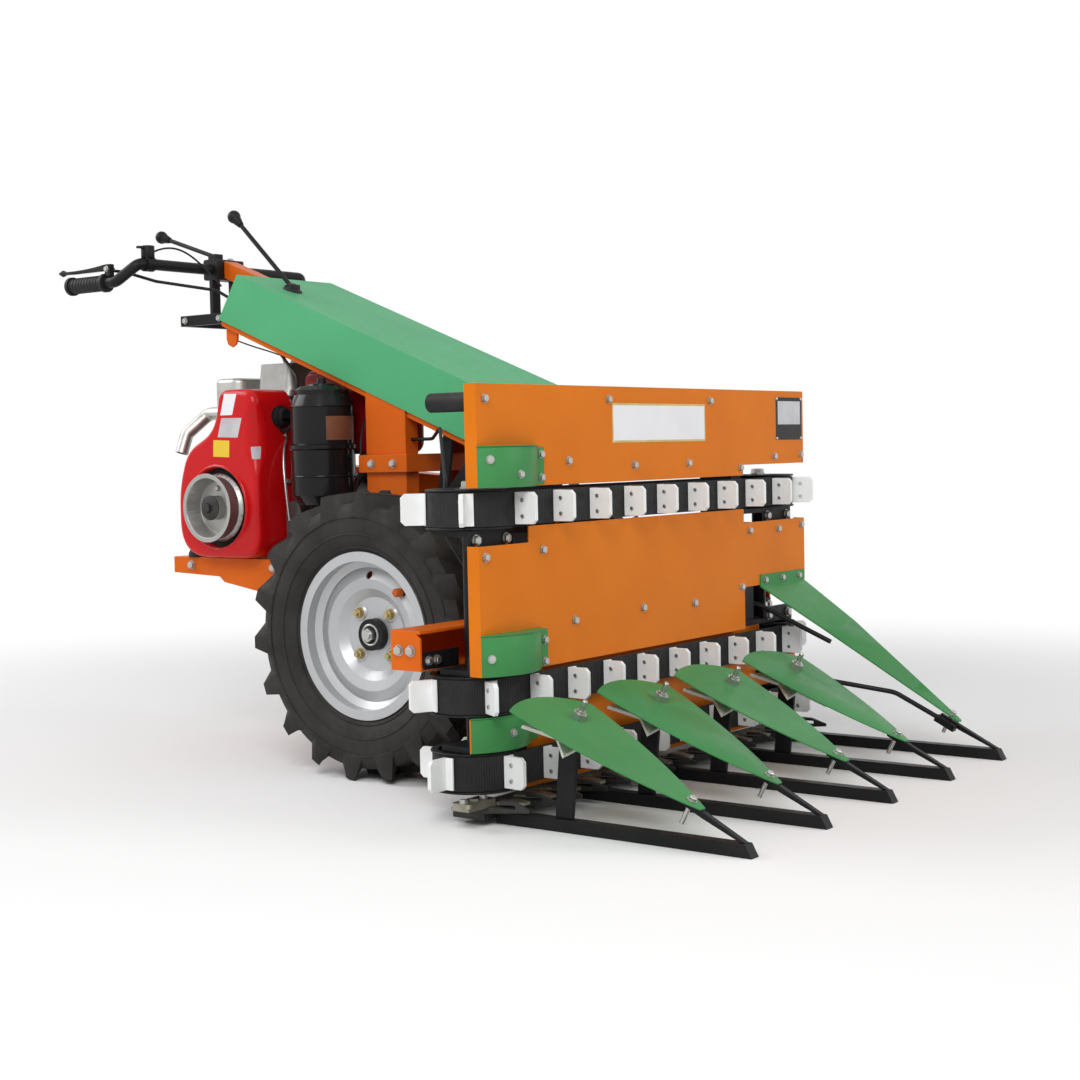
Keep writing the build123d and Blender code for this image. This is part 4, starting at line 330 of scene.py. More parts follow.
# %% [markdown]
# Places are in millimetres forward of the axle, to the left and up, as a fitter would measure them on the
# machine, and become metres in one function. A face that a fitting sits on is read from the frame's own
# piece, to a tenth of a millimetre. It could be typed in, but then it would stay behind if the frame
# changed.

# %% Places
MM = 0.001
tyre_low, tyre_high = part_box("tyre_right")
AXLE_X = round((tyre_low.x + tyre_high.x) / 2 / MM, 1)
OUT_FRONT = Vector((1, 0, 0))
OUT_REAR = Vector((-1, 0, 0))
OUT_RIGHT = Vector((0, -1, 0))
OUT_LEFT = Vector((0, 1, 0))
OUT_UP = Vector((0, 0, 1))
SIDES = ((-1, OUT_RIGHT), (1, OUT_LEFT))
FACES = {
    # name: axis (forward, across, up), end (low, high)
    "rear": (0, 0), "front": (0, 1), "right": (1, 0), "left": (1, 1), "bottom": (2, 0), "top": (2, 1),
}


def spot(x, y, z):
    """Point in metres."""
    return Vector((AXLE_X + x, y, z)) * MM


def face_of(node, side):
    """Where a frame piece's front, rear, left, right, top or bottom lies, in millimetres from the axle."""
    axis, end = FACES[side]
    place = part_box(node)[end][axis] / MM
    return round(place - AXLE_X if axis == 0 else place, 1)


def middle_of(node):
    """Middle of a frame piece, forward, across and up, in millimetres from the axle."""
    pairs = (("rear", "front"), ("right", "left"), ("bottom", "top"))
    return [(face_of(node, low) + face_of(node, high)) / 2 for low, high in pairs]


def stand(point, outward):
    """Matrix that stands a shape made along Z on a point, facing outward."""
    return Matrix.Translation(point) @ outward.to_track_quat("Z", "Y").to_matrix().to_4x4()


print("axle at", AXLE_X, "mm, header's face", face_of("top_panel", "front"), "mm ahead of it")

# %% [markdown]
# Small fittings: like fittings share one mesh. A bolt is a hex head on a washer, stood on its surface and
# facing outward. Bolts could be modelled one by one, or copied from a library, but with a list of places
# they are shorter to write and easier to check against the photograph.


# %% Bolts, discs and boxes
def add_piece(name, mesh, finish, body="chassis", sharp=35):
    """Object from a mesh in the making, with outward normals, a finish and the body that it rides."""
    bmesh.ops.recalc_face_normals(mesh, faces=mesh.faces)
    data = bpy.data.meshes.new(name)
    mesh.to_mesh(data)
    mesh.free()
    data.shade_smooth()
    data.set_sharp_from_angle(angle=math.radians(sharp))
    data.materials.append(finishes[finish])
    piece = bpy.data.objects.new(name, data)
    scene.collection.objects.link(piece)
    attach(piece, body)
    print(name, len(data.polygons), "faces")
    return piece


def add_disc(mesh, base, radius, height, sides=24, top=None, start=0.0):
    """Prism or frustum along the base's Z, sizes in millimetres."""
    middle = base @ Matrix.Translation((0, 0, (start + height / 2) * MM))
    bmesh.ops.create_cone(
        mesh, cap_ends=True, segments=sides, radius1=radius * MM,
        radius2=(radius if top is None else top) * MM, depth=height * MM, matrix=middle,
    )


def add_bolt(mesh, point, outward, flats=13.0, washer=True):
    """Hex head with a chamfered crown, on a washer, in the proportions of a standard bolt."""
    base = stand(point, outward)
    corner = flats / math.sqrt(3)
    seat = 0.12 * flats if washer else 0.0
    if washer:
        add_disc(mesh, base, 0.68 * flats, seat, 20)
    add_disc(mesh, base, corner, 0.36 * flats, 6, start=seat)
    add_disc(mesh, base, 0.94 * corner, 0.07 * flats, 6, 0.8 * corner, start=seat + 0.36 * flats)


def add_box(mesh, base, long, wide, high):
    """Box on the base's origin, standing up along its Z."""
    size = Matrix.Diagonal((long * MM, wide * MM, high * MM, 1))
    bmesh.ops.create_cube(mesh, size=1.0, matrix=base @ Matrix.Translation((0, 0, high * MM / 2)) @ size)


# %% [markdown]
# Panel screws: zinc-plated hex heads hold each orange sheet to the uprights and rails behind it, and
# three more hold the flange of the tall divider. Their places were read from the photograph.

# %% Screws of the panels
PANEL_FACE = face_of("top_panel", "front")
DIVIDER_FLANGE_T = 3.3
TOP_SCREWS = [
    # across, up
    (-547, 736), (-179, 738), (181, 738), (-309, 626), (-96, 614), (96, 614), (440, 622), (556, 624),
    (298, 600),
]
LOW_SCREWS = [
    (-553, 466), (-391, 470), (-298, 336), (-75, 340), (110, 334), (332, 468), (453, 466), (555, 470),
    (296, 352),
]
FLANGE_SCREWS = [(389, 360), (463, 360), (536, 360)]
mesh = bmesh.new()
for y, z in TOP_SCREWS + LOW_SCREWS:
    add_bolt(mesh, spot(PANEL_FACE, y, z), OUT_FRONT, 12)
for y, z in FLANGE_SCREWS:
    add_bolt(mesh, spot(PANEL_FACE + DIVIDER_FLANGE_T, y, z), OUT_FRONT, 11)
add_piece("panel_screws", mesh, "zinc_steel")

# %% [markdown]
# Belt guards: three bowed plates keep the crop off the near drums. On the machine each has a flat flange
# that is screwed to its panel, and a level lid. The lid is a piece of a disc, so a disc is made as wide
# as the bow and cut off at the panel, which is simpler than to draw its arc.

# %% Flanges, lids and screws of the belt guards
GUARD_MIDDLE = middle_of("belt_guards")[1]
GUARD_HALF = face_of("belt_guards", "left") - GUARD_MIDDLE
GUARD_BULGE = face_of("belt_guards", "front") - PANEL_FACE
GUARD_BOW_R = (GUARD_HALF**2 + GUARD_BULGE**2) / (2 * GUARD_BULGE)
FLANGE_WIDE, FLANGE_T = 20.0, 2.0
LID_OVERHANG, LID_T = 1.5, 1.5
GUARDS = [
    # seat, low edge, height, bow screws (across from the middle, up), flange screws (up)
    (PANEL_FACE, face_of("top_panel", "bottom"), 70.0, [(-66, 48), (-8, 22)], (14, 55)),
    (PANEL_FACE, face_of("lower_panel", "bottom"), 70.0, [(-70, 31)], (10, 48)),
    (face_of("skirt", "front"), face_of("belt_guards", "bottom"), 59.0, [(-10, 30)], (30,)),
]
flange_y = GUARD_MIDDLE + GUARD_HALF + FLANGE_WIDE / 2 - FLANGE_T
flanges = bmesh.new()
lids = bmesh.new()
mesh = bmesh.new()
for seat_x, low, height, bow_screws, flange_screws in GUARDS:
    bow_x = seat_x + GUARD_BULGE - GUARD_BOW_R
    bow_axis = stand(spot(bow_x, GUARD_MIDDLE, low + height), OUT_UP)
    add_disc(lids, bow_axis, GUARD_BOW_R + LID_OVERHANG, LID_T, 120)
    bmesh.ops.bisect_plane(
        lids, geom=lids.verts[:] + lids.edges[:] + lids.faces[:],
        plane_co=spot(seat_x, 0, 0), plane_no=OUT_FRONT, clear_inner=True,
    )
    bmesh.ops.holes_fill(lids, edges=[edge for edge in lids.edges if edge.is_boundary])
    for across, rise in bow_screws:
        reach = math.sqrt(GUARD_BOW_R**2 - across**2)
        point = spot(bow_x + reach, GUARD_MIDDLE + across, low + rise)
        add_bolt(mesh, point, Vector((reach, across, 0)).normalized(), 11)
    flange = stand(spot(seat_x, flange_y, low + height / 2), OUT_FRONT)
    add_box(flanges, flange, FLANGE_WIDE, height - 2 * FLANGE_T, FLANGE_T)
    for rise in flange_screws:
        add_bolt(mesh, spot(seat_x + FLANGE_T, flange_y + 1, low + rise), OUT_FRONT, 11)
add_piece("guard_screws", mesh, "zinc_steel")
add_piece("guard_flanges", flanges, "leaf_green")
add_piece("guard_lids", lids, "leaf_green")

# %% [markdown]
# Header frame: bolts through the lips of the drum brackets carry the drums. The cross beam is an open
# channel, and the black plates on its front at both ends are painted shade: they stand for the shade inside
# the channel there, and carry bolts. Each plate could be cut from the beam's own mesh, but a plain box set
# against its front does the same.

# %% Bolts of the header's frame, and painted shade on the cross beam's ends
LIP_FRONT = face_of("drum_brackets", "front")
LIP_ZS = (494.0, 278.0, 145.0)
BEAM_FRONT = face_of("crossbeam", "front")
BEAM_END = face_of("crossbeam", "left")
# painted shade: a black plate on the beam's front at each end stands for the shade inside the open channel
SHADE_PLATE = (92.0, 30.0, 4.0)
SHADE_PLATE_Z = 288.0
# the black plates made in this mesh are painted shade for the inside of the beam's channel
brackets = bmesh.new()
mesh = bmesh.new()
for hand, out in SIDES:
    for y in (hand * 458, hand * 542):
        for z in LIP_ZS:
            add_bolt(mesh, spot(LIP_FRONT, y, z), OUT_FRONT, 15)
    for x in (338, 365):
        add_bolt(mesh, spot(x, hand * BEAM_END, 305), out, 15)
    add_box(brackets, stand(spot(BEAM_FRONT, hand * 552, SHADE_PLATE_Z), OUT_FRONT), *SHADE_PLATE)
    for y in (hand * 588, hand * 566):
        add_bolt(mesh, spot(BEAM_FRONT + SHADE_PLATE[2], y, SHADE_PLATE_Z), OUT_FRONT, 13)
add_piece("frame_bolts", mesh, "zinc_steel")
add_piece("beam_painted_shade", brackets, "satin_black")

# %% [markdown]
# Outline of the fan shroud: on the engine it is one deep pressing, with a narrow neck that swells into a
# round foot. Its outline is a few corners, each eased into a curve, and is then walked in even steps, so
# that every ring built on it later has the same number of points.

# %% Outline of the fan shroud
SHROUD_CORNERS = [
    # forward of the crank, above the crank, length eased on both sides
    (122, 255, 38), (12, 255, 22), (-8, 167, 40), (-98, 124, 36), (-127, 40, 40), (-127, -110, 82),
    (128, -110, 55),
]
RING_POINTS = 200


def round_corners(corners, steps=10):
    """Closed outline with each corner eased into a curve."""
    outline = []
    for n, (x, z, reach) in enumerate(corners):
        corner = Vector((x, z))
        before = Vector(corners[n - 1][:2])
        after = Vector(corners[(n + 1) % len(corners)][:2])
        start = corner + (before - corner).normalized() * reach
        end = corner + (after - corner).normalized() * reach
        for step in range(steps + 1):
            share = step / steps
            outline.append(start.lerp(corner, share).lerp(corner.lerp(end, share), share))
    return outline


def space_out(outline, count):
    """The same closed outline with so many points, evenly spaced."""
    closed = outline + outline[:1]
    lengths = [0.0]
    for first, second in zip(closed, closed[1:]):
        lengths.append(lengths[-1] + (second - first).length)
    placed = []
    side = 0
    for n in range(count):
        target = lengths[-1] * n / count
        while lengths[side + 1] < target:
            side += 1
        share = (target - lengths[side]) / (lengths[side + 1] - lengths[side])
        placed.append(closed[side].lerp(closed[side + 1], share))
    return placed


shroud_outline = space_out(round_corners(SHROUD_CORNERS), RING_POINTS)
print("shroud outline", len(shroud_outline), "points")

# %% [markdown]
# Fan shroud: the round between flank and face widens at the neck, and a soft lip goes about the fan. The
# frame has the shroud with straight sides and even rounds. A bevel could not grow along an edge, so rings
# of points follow the outline by a formula, and quads join them.

# %% Fan shroud
pulley_middle = middle_of("starter_pulley")
CRANK = (pulley_middle[0], pulley_middle[2])
SHROUD_FACE = face_of("engine_shroud", "right")
SHROUD_BACK = face_of("engine_shroud", "left")
FAN_DEPTH = 14.0
FAN_LIP = [
    # radius, depth behind the face
    (95.5, 0), (94, 0), (92, -2.5), (90, -3), (88, -1.5), (86.5, 4), (86, FAN_DEPTH),
]
EDGE_ROUND = 12.0
NECK_INSET, NECK_DROP = 22.0, 24.0
NECK_START, NECK_END, NECK_FRONT = (60, 130), (175, 230), (40, 100)
ROUND_STEPS = 8
FACE_INSET = 2.0


def ease(value, low, high):
    """Smooth step from 0 at low to 1 at high."""
    share = min(max((value - low) / (high - low), 0.0), 1.0)
    return share * share * (3 - 2 * share)


def shroud_point(n, share, proud=0.0):
    """Point on the round from flank (share 0) to face (share 1), which is widest on the neck's front."""
    point = shroud_outline[n]
    along = (shroud_outline[(n + 1) % RING_POINTS] - shroud_outline[n - 1]).normalized()
    inward = Vector((-along.y, along.x))
    neck = ease(point.y, *NECK_START) * (1 - 0.75 * ease(point.y, *NECK_END)) * ease(point.x, *NECK_FRONT)
    bend = min(share, 1.0) * math.pi / 2
    past_round = FACE_INSET * max(share - 1, 0)
    inset = (EDGE_ROUND + NECK_INSET * neck) * (1 - math.cos(bend)) + past_round - proud
    drop = (EDGE_ROUND + NECK_DROP * neck) * (1 - math.sin(bend)) - proud
    placed = point + inward * inset
    return spot(CRANK[0] + placed.x, SHROUD_FACE + drop, CRANK[1] + placed.y)


def fan_point(n, radius, y):
    """Point of a ring about the crank, in line with a point of the outline."""
    turn = math.atan2(shroud_outline[n].y, shroud_outline[n].x)
    return spot(CRANK[0] + radius * math.cos(turn), y, CRANK[1] + radius * math.sin(turn))


def join_rings(mesh, rings, closed=True):
    """Quads between each ring of vertices and the next."""
    for low, high in zip(rings, rings[1:]):
        for n in range(0 if closed else 1, len(low)):
            mesh.faces.new((low[n - 1], low[n], high[n], high[n - 1]))


shares = [step / ROUND_STEPS for step in range(ROUND_STEPS + 1)] + [2.0]
rings = [[spot(CRANK[0] + p.x, SHROUD_BACK, CRANK[1] + p.y) for p in shroud_outline]]
rings += [[shroud_point(n, share) for n in range(RING_POINTS)] for share in shares]
rings += [[fan_point(n, radius, SHROUD_FACE + sink) for n in range(RING_POINTS)] for radius, sink in FAN_LIP]
mesh = bmesh.new()
laid = [[mesh.verts.new(point) for point in ring] for ring in rings]
join_rings(mesh, laid)
mesh.faces.new(laid[0])
mesh.faces.new(laid[-1])
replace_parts(add_piece("shroud_pressing", mesh, "engine_red", sharp=50), "engine_shroud")

# %% [markdown]
# Plates: the header carries a plain white plate with a narrow gilt border and a plain black plate with a
# silver field, and the shroud three plain patches. Each is a few corners on the surface that are extruded
# outward. A patch could be painted by the material, but a real one has an edge that catches light.


# %% Plates on the header and the shroud
def add_slab(mesh, corners, outward, thick):
    """Thin slab from its corners, raised along outward."""
    face = mesh.faces.new([mesh.verts.new(corner) for corner in corners])
    made = bmesh.ops.extrude_face_region(mesh, geom=[face])
    raised = [item for item in made["geom"] if isinstance(item, bmesh.types.BMVert)]
    bmesh.ops.translate(mesh, verts=raised, vec=outward * thick * MM)


def panel_rect(low_y, high_y, low_z, high_z, proud=0.0):
    """Corners of an upright rectangle on the top panel."""
    x = PANEL_FACE + proud
    return [spot(x, low_y, low_z), spot(x, high_y, low_z), spot(x, high_y, high_z), spot(x, low_y, high_z)]


def shroud_patch(corners):
    """Corners, given forward and up, on the shroud's face."""
    return [spot(x, SHROUD_FACE, z) for x, z in corners]


PLATE_T = 0.8
PLATES = {
    # name: corners, outward, thickness, finish, slot
    "white_plate_border": (panel_rect(-168, 161, 657, 731), OUT_FRONT, PLATE_T, "gilt", "bright_steel"),
    "white_plate": (
        panel_rect(-164, 157, 661, 727, PLATE_T), OUT_FRONT, 0.4, "plate_white", "white_plastic",
    ),
    "black_plate": (panel_rect(450, 562, 657, 748), OUT_FRONT, PLATE_T, "gloss_black", "black_plastic"),
    "black_plate_field": (
        panel_rect(457, 555, 690, 740, PLATE_T), OUT_FRONT, 0.3, "plate_silver", "bright_steel",
    ),
    "sticker_white": (
        shroud_patch([(-490, 735), (-453, 735), (-438, 780), (-476, 781)]),
        OUT_RIGHT, 0.3, "plate_white", "white_plastic",
    ),
    "sticker_silver": (
        shroud_patch([(-500, 688), (-438, 686), (-424, 728), (-487, 729)]),
        OUT_RIGHT, 0.3, "plate_silver", "bright_steel",
    ),
    "sticker_yellow": (
        shroud_patch([(-516, 646), (-466, 644), (-464, 680), (-514, 682)]),
        OUT_RIGHT, 0.3, "plate_yellow", "white_plastic",
    ),
}
for name, (corners, outward, thick, finish, slot) in PLATES.items():
    mesh = bmesh.new()
    add_slab(mesh, corners, outward, thick)
    add_piece(name, mesh, finish)

# %% [markdown]
# Rivets of the black plate: domed heads, one in each corner. A dome is a short profile turned about its
# axis, as it would be on a lathe. A sphere would also do, but a profile gives the low crown that rivets
# have.


# %% Rivets
def add_turned(mesh, base, profile, steps=36):
    """Turned shape about the base's Z from (radius, height) points that begin and end on the axis."""
    chain = [mesh.verts.new(base @ Vector((r * MM, 0, h * MM))) for r, h in profile]
    edges = [mesh.edges.new(pair) for pair in zip(chain, chain[1:])]
    bmesh.ops.spin(
        mesh, geom=chain + edges, cent=base.translation, axis=base.to_3x3() @ OUT_UP,
        dvec=(0, 0, 0), angle=2 * math.pi, steps=steps, use_merge=True, use_duplicate=False,
    )
    bmesh.ops.remove_doubles(mesh, verts=mesh.verts, dist=0.000005)


RIVET = [(0, 0), (3.5, 0), (3, 1.6), (0, 2.4)]
mesh = bmesh.new()
for y in (453, 559):
    for z in (660, 745):
        add_turned(mesh, stand(spot(PANEL_FACE + PLATE_T, y, z), OUT_FRONT), RIVET, 14)
add_piece("plate_rivets", mesh, "zinc_steel")

# %% [markdown]
# Patch on the shroud's shoulder: it is stuck over the round, so it bends with it. The same formula that
# laid the round lays the patch, a little proud of it, and gives it a thin wall. A flat patch would cut
# into the round.

# %% Patch on the shroud's shoulder
PATCH_PROUD = 0.4
PATCH_SHARES = [0.3, 0.4, 0.5, 0.6, 0.7]
PATCH_T = 0.0003
shoulder = [n for n, point in enumerate(shroud_outline) if point.x > 100 and 100 < point.y < 136]
mesh = bmesh.new()
patch = [[mesh.verts.new(shroud_point(n, share, PATCH_PROUD)) for n in shoulder] for share in PATCH_SHARES]
join_rings(mesh, patch, closed=False)
bmesh.ops.solidify(mesh, geom=list(mesh.faces), thickness=PATCH_T)
add_piece("sticker_shoulder", mesh, "plate_white")

# %% [markdown]
# Lug plates: two small bolts hold each nylon paddle to the belt's cleat. Their places could be copied off
# the frame's paddles, but the belt's own path gives them all: two straight runs and two half turns.

# %% Bolts of the lug plates
DRUM_X = middle_of("belt_top")[0]
BELT_R = face_of("belt_top", "front") - DRUM_X
DRUM_Y = DRUM_SPAN / MM
BELT_ZS = [middle_of(belt)[2] for belt in ("belt_top", "belt_middle", "belt_lower")]
LUG_COUNT, LUG_T, LUG_OUT = 22, 8.0, 18.0
FIRST_LUG, LUG_STAGGER = 0.35, 0.3
run = 2 * DRUM_Y
half_loop = run + math.pi * BELT_R


def belt_point(s):
    """Point on the belt's outer face at run s, with the outward direction there."""
    flip = -1 if s % (2 * half_loop) >= half_loop else 1
    s = s % half_loop
    turn = max(s - run, 0) / BELT_R
    out = Vector((math.cos(turn), math.sin(turn), 0)) * flip
    along = (min(s, run) - DRUM_Y) * flip
    return DRUM_X + BELT_R * out.x, along + BELT_R * out.y, out


mesh = bmesh.new()
for level, z in enumerate(BELT_ZS):
    for n in range(LUG_COUNT):
        x, y, out = belt_point((n + LUG_STAGGER * level + FIRST_LUG) * 2 * half_loop / LUG_COUNT)
        face = Vector((out.y, -out.x, 0))
        for rise in (-14, 14):
            seat = spot(x, y, z + rise) + (out * LUG_OUT + face * LUG_T) * MM
            add_bolt(mesh, seat, face, 6.5, washer=False)
add_piece("lug_bolts", mesh, "zinc_steel")

# %% [markdown]
# Leaves and star wheels: a through bolt clamps each leaf's tip to its nose rod, and each star wheel's pin
# ends in a threaded stud above the leaf. All lean with the leaf, so its slope is worked out once and
# gives the direction of every bolt. They could be turned by hand, but then no two would agree.

# %% Bolts of the leaves
LEAF_ROOT = (640.0, 192.0)
LEAF_TIP = (face_of("end_divider", "front"), face_of("leaves", "bottom"))
PIN_TOP = (648.7, 208.9)
TIP_SETBACK = 24.0
LEAF_YS = (-500, -250, 0, 250)
END_DIVIDER_Y = 500
LEAF_LIFT, DIVIDER_LIFT = 3.0, 10.0
leaf_turn = math.atan2(LEAF_ROOT[1] - LEAF_TIP[1], LEAF_TIP[0] - LEAF_ROOT[0])
leaf_out = Vector((math.sin(leaf_turn), 0, math.cos(leaf_turn)))
leaf_down = Vector((math.cos(leaf_turn), 0, -math.sin(leaf_turn)))
tips = [(y, LEAF_LIFT) for y in LEAF_YS] + [(END_DIVIDER_Y, DIVIDER_LIFT)]
mesh = bmesh.new()
for y, lift in tips:
    seat = spot(LEAF_TIP[0], y, LEAF_TIP[1]) + (leaf_out * lift - leaf_down * TIP_SETBACK) * MM
    add_bolt(mesh, seat, leaf_out, 13)
    add_disc(mesh, stand(seat, -leaf_out), 4, 44, 14)
for y in LEAF_YS:
    stud = stand(spot(PIN_TOP[0], y, PIN_TOP[1]) - leaf_out * MM, leaf_out)
    add_disc(mesh, stud, 5, 19, 16)
    add_disc(mesh, stud, 5, 2, 16, 4, start=19)
add_piece("leaf_bolts", mesh, "zinc_steel")

# %% [markdown]
# Cutter: each guard finger is bolted to the bar behind it, and the knife's drive head has a bolt at
# either end. The bolts could be left out under the drums, but they show when the header is seen from the
# front and below. Those on the head ride the knife, so that they slide with it, and they are low enough
# to pass under the drum.

# %% Bolts of the cutter
BAR_TOP = face_of("header_uprights", "bottom")
KNIFE_BOSS = 3.0
HEAD_TOP = face_of("knife", "top") - KNIFE_BOSS
HEAD_END = face_of("knife", "right")
FINGER_PITCH, FINGERS_A_SIDE = 76, 7
mesh = bmesh.new()
for n in range(-FINGERS_A_SIDE, FINGERS_A_SIDE + 1):
    add_bolt(mesh, spot(424, n * FINGER_PITCH, BAR_TOP), OUT_UP, 12)
add_piece("finger_bolts", mesh, "knife_steel")
mesh = bmesh.new()
for inset in (10, 64):
    add_bolt(mesh, spot(460, HEAD_END + inset, HEAD_TOP), OUT_UP, 12)
add_piece("knife_head_bolts", mesh, "zinc_steel", "knife")

# %% [markdown]
# Drums: moulded cups, stiffened by ribs between hub and wall, which show from above and below. A nut ends
# each shaft. The ribs could be spun copies of one box, but turning the box's own matrix is one line.

# %% Ribs and nuts of the drums
RIBS_A_DRUM = 6
RIB_REACH = 45.0
RIB = (40.0, 4.0, 24.0)
RIB_LIFTS = (4, -28)
SHAFT_TOP = face_of("drum_stacks", "top")
ribs = bmesh.new()
nuts = bmesh.new()
for y in (-DRUM_Y, DRUM_Y):
    for z in BELT_ZS:
        for n in range(RIBS_A_DRUM):
            turn = Matrix.Rotation(2 * math.pi * n / RIBS_A_DRUM, 4, "Z")
            for lift in RIB_LIFTS:
                middle = Matrix.Translation(spot(DRUM_X, y, z + lift)) @ turn
                add_box(ribs, middle @ Matrix.Translation((RIB_REACH * MM, 0, 0)), *RIB)
    add_bolt(nuts, spot(DRUM_X, y, SHAFT_TOP), OUT_UP, 24)
add_piece("drum_ribs", ribs, "satin_black")
add_piece("drum_nuts", nuts, "zinc_steel")

# %% [markdown]
# Wheel nuts: four yellow-zinc nuts in pressed seats hold each disc, and a big nut with a round collar
# ends the axle. Nut and seat could be one shape, but each has its own finish, so they are two pieces.
# All of them ride their wheel and turn with it.


# %% Wheel nuts and axle nuts
def add_ring(mesh, base, ring, wire, steps=40, lift=0.0):
    """Round wire bent to a full ring about the base's Z."""
    start = base @ Matrix.Translation((ring * MM, 0, lift * MM)) @ Matrix.Rotation(math.pi / 2, 4, "X")
    made = bmesh.ops.create_circle(mesh, segments=8, radius=wire * MM, matrix=start)
    edges = list({edge for vert in made["verts"] for edge in vert.link_edges})
    bmesh.ops.spin(
        mesh, geom=made["verts"] + edges, cent=base.translation, axis=base.to_3x3() @ OUT_UP,
        dvec=(0, 0, 0), angle=2 * math.pi, steps=steps, use_merge=True, use_duplicate=False,
    )


WHEELS = ((-1, "right"), (1, "left"))
WHEEL_Y, WHEEL_Z = middle_of("tyre_left")[1:]
NUT_CIRCLE = 58.0
NUT_SEAT = [(0, 0), (17, 0), (14, 3), (0, 3)]
SEAT_RISE, DISC_FACE = 3.0, 4.0
AXLE_END = 22.0
for hand, side in WHEELS:
    body = "wheel_" + side
    out = Vector((0, hand, 0))
    seats = bmesh.new()
    nuts = bmesh.new()
    for n in range(4):
        turn = math.pi * (0.25 + n / 2)
        across, rise = NUT_CIRCLE * math.cos(turn), NUT_CIRCLE * math.sin(turn)
        point = spot(across, hand * (WHEEL_Y + DISC_FACE), WHEEL_Z + rise)
        add_turned(seats, stand(point, out), NUT_SEAT, 24)
        add_bolt(nuts, point + out * SEAT_RISE * MM, out, 17)
        add_disc(nuts, stand(point + out * SEAT_RISE * MM, out), 5.5, 15, 16)
    add_piece("nut_seats_" + side, seats, "wheel_silver", body)
    add_piece("wheel_nuts_" + side, nuts, "yellow_zinc", body)
    axle = stand(spot(0, hand * (WHEEL_Y + AXLE_END), WHEEL_Z), out)
    mesh = bmesh.new()
    add_disc(mesh, axle, 14, 9, 6)
    add_disc(mesh, axle, 8, 12, 20)
    add_ring(mesh, axle, 20, 2.5, 40)
    add_piece("axle_nut_" + side, mesh, "zinc_steel", body)

# %% [markdown]
# Valves: the tube's rubber valve stands in each disc and wears an orange cap. Stem and cap could be one
# turned shape in two colours, but two pieces on the same axis have one finish each and are simpler.

# %% Valves
VALVE_PLACE = (87, 88)
VALVE_SEAT = 15.0
VALVE_CAP = [(0, 12), (8.5, 12), (8.5, 26), (6.5, 29), (0, 29)]
for hand, side in WHEELS:
    seat = spot(VALVE_PLACE[0], hand * (WHEEL_Y + VALVE_SEAT), WHEEL_Z + VALVE_PLACE[1])
    valve = stand(seat, Vector((0, hand, 0)))
    mesh = bmesh.new()
    add_disc(mesh, valve, 4, 16, 14)
    add_piece("valve_stem_" + side, mesh, "grip_rubber", "wheel_" + side)
    mesh = bmesh.new()
    add_turned(mesh, valve, VALVE_CAP, 18)
    add_piece("valve_cap_" + side, mesh, "cap_orange", "wheel_" + side)

# %% [markdown]
# Sidewalls: fine rings are moulded round them. They could be relief in the material, but then they would
# not show on the tyre's outline, so each is a thin round wire bent to a ring, half sunk in the rubber.

# %% Rings of the sidewalls
SIDEWALL_RINGS = [
    # radius, out from the tyre's middle
    (176, 50.5), (203, 61.5), (236, 63.5),
]
RING_WIRE = 1.8
for hand, side in WHEELS:
    middle = stand(spot(0, hand * WHEEL_Y, WHEEL_Z), Vector((0, hand, 0)))
    mesh = bmesh.new()
    for ring, lift in SIDEWALL_RINGS:
        add_ring(mesh, middle, ring, RING_WIRE, 90, lift)
    add_piece("tyre_rings_" + side, mesh, "tyre_rubber", "wheel_" + side)

# %% [markdown]
# Tread: a real field tyre has broad, tapered bars, moulded with sloping walls that run out over the
# shoulder. The frame's bars are plain. A bevel would slope every wall alike, so each bar is laid through
# six cross-sections from the tyre's middle to its shoulder, where it ends in a short slope on the
# sidewall.

# %% Tread bars
BAR_COUNT = 18
BAR_SWEEP, SHOULDER = 25.0, 63.0
BAR_SECTIONS = [
    # out from the middle, base radius, crown radius, half base, half crown
    (1.0, 265, 283.4, 26, 12.6), (20, 263, 283.4, 27, 12.6), (40, 261, 283.4, 28, 12.6),
    (54, 256, 283.0, 29, 12.6), (63.4, 236, 281.0, 26, 12.4), (65.6, 238, 266.0, 20, 10),
]


def add_tread_bar(mesh, hand, half, turn):
    """One bar on one half of a tyre, about the axle by the given turn."""
    out = Vector((math.cos(turn), 0, math.sin(turn)))
    round_way = Vector((-math.sin(turn), 0, math.cos(turn)))
    sections = []
    for wide, base, crown, half_base, half_crown in BAR_SECTIONS:
        lead = BAR_SWEEP * (2 * min(wide / SHOULDER, 1.0) - 1)
        feet = [(lead + side, math.sqrt(base**2 - (lead + side) ** 2)) for side in (-half_base, half_base)]
        corners = [feet[0], (lead - half_crown, crown), (lead + half_crown, crown), feet[1]]
        middle = spot(0, hand * (WHEEL_Y - half * wide), WHEEL_Z)
        sections.append([mesh.verts.new(middle + (out * r + round_way * t) * MM) for t, r in corners])
    join_rings(mesh, sections)
    mesh.faces.new(sections[0])
    mesh.faces.new(sections[-1])


for hand, side in WHEELS:
    mesh = bmesh.new()
    for half, stagger in ((-1, 0.0), (1, 0.5)):
        for n in range(BAR_COUNT):
            add_tread_bar(mesh, hand, half, 2 * math.pi * (n + stagger) / BAR_COUNT)
    add_piece("tread_bars_" + side, mesh, "tyre_rubber", "wheel_" + side)

# %% [markdown]
# Fan and rope start: a screen of wire rings lies in the fan's opening, and the pulley that the rope winds
# on has a cast hub with a nut and three screws. The screen could be a picture on a disc, but round wires
# catch light. Hub and screws ride the starter, so they turn with the pulley.

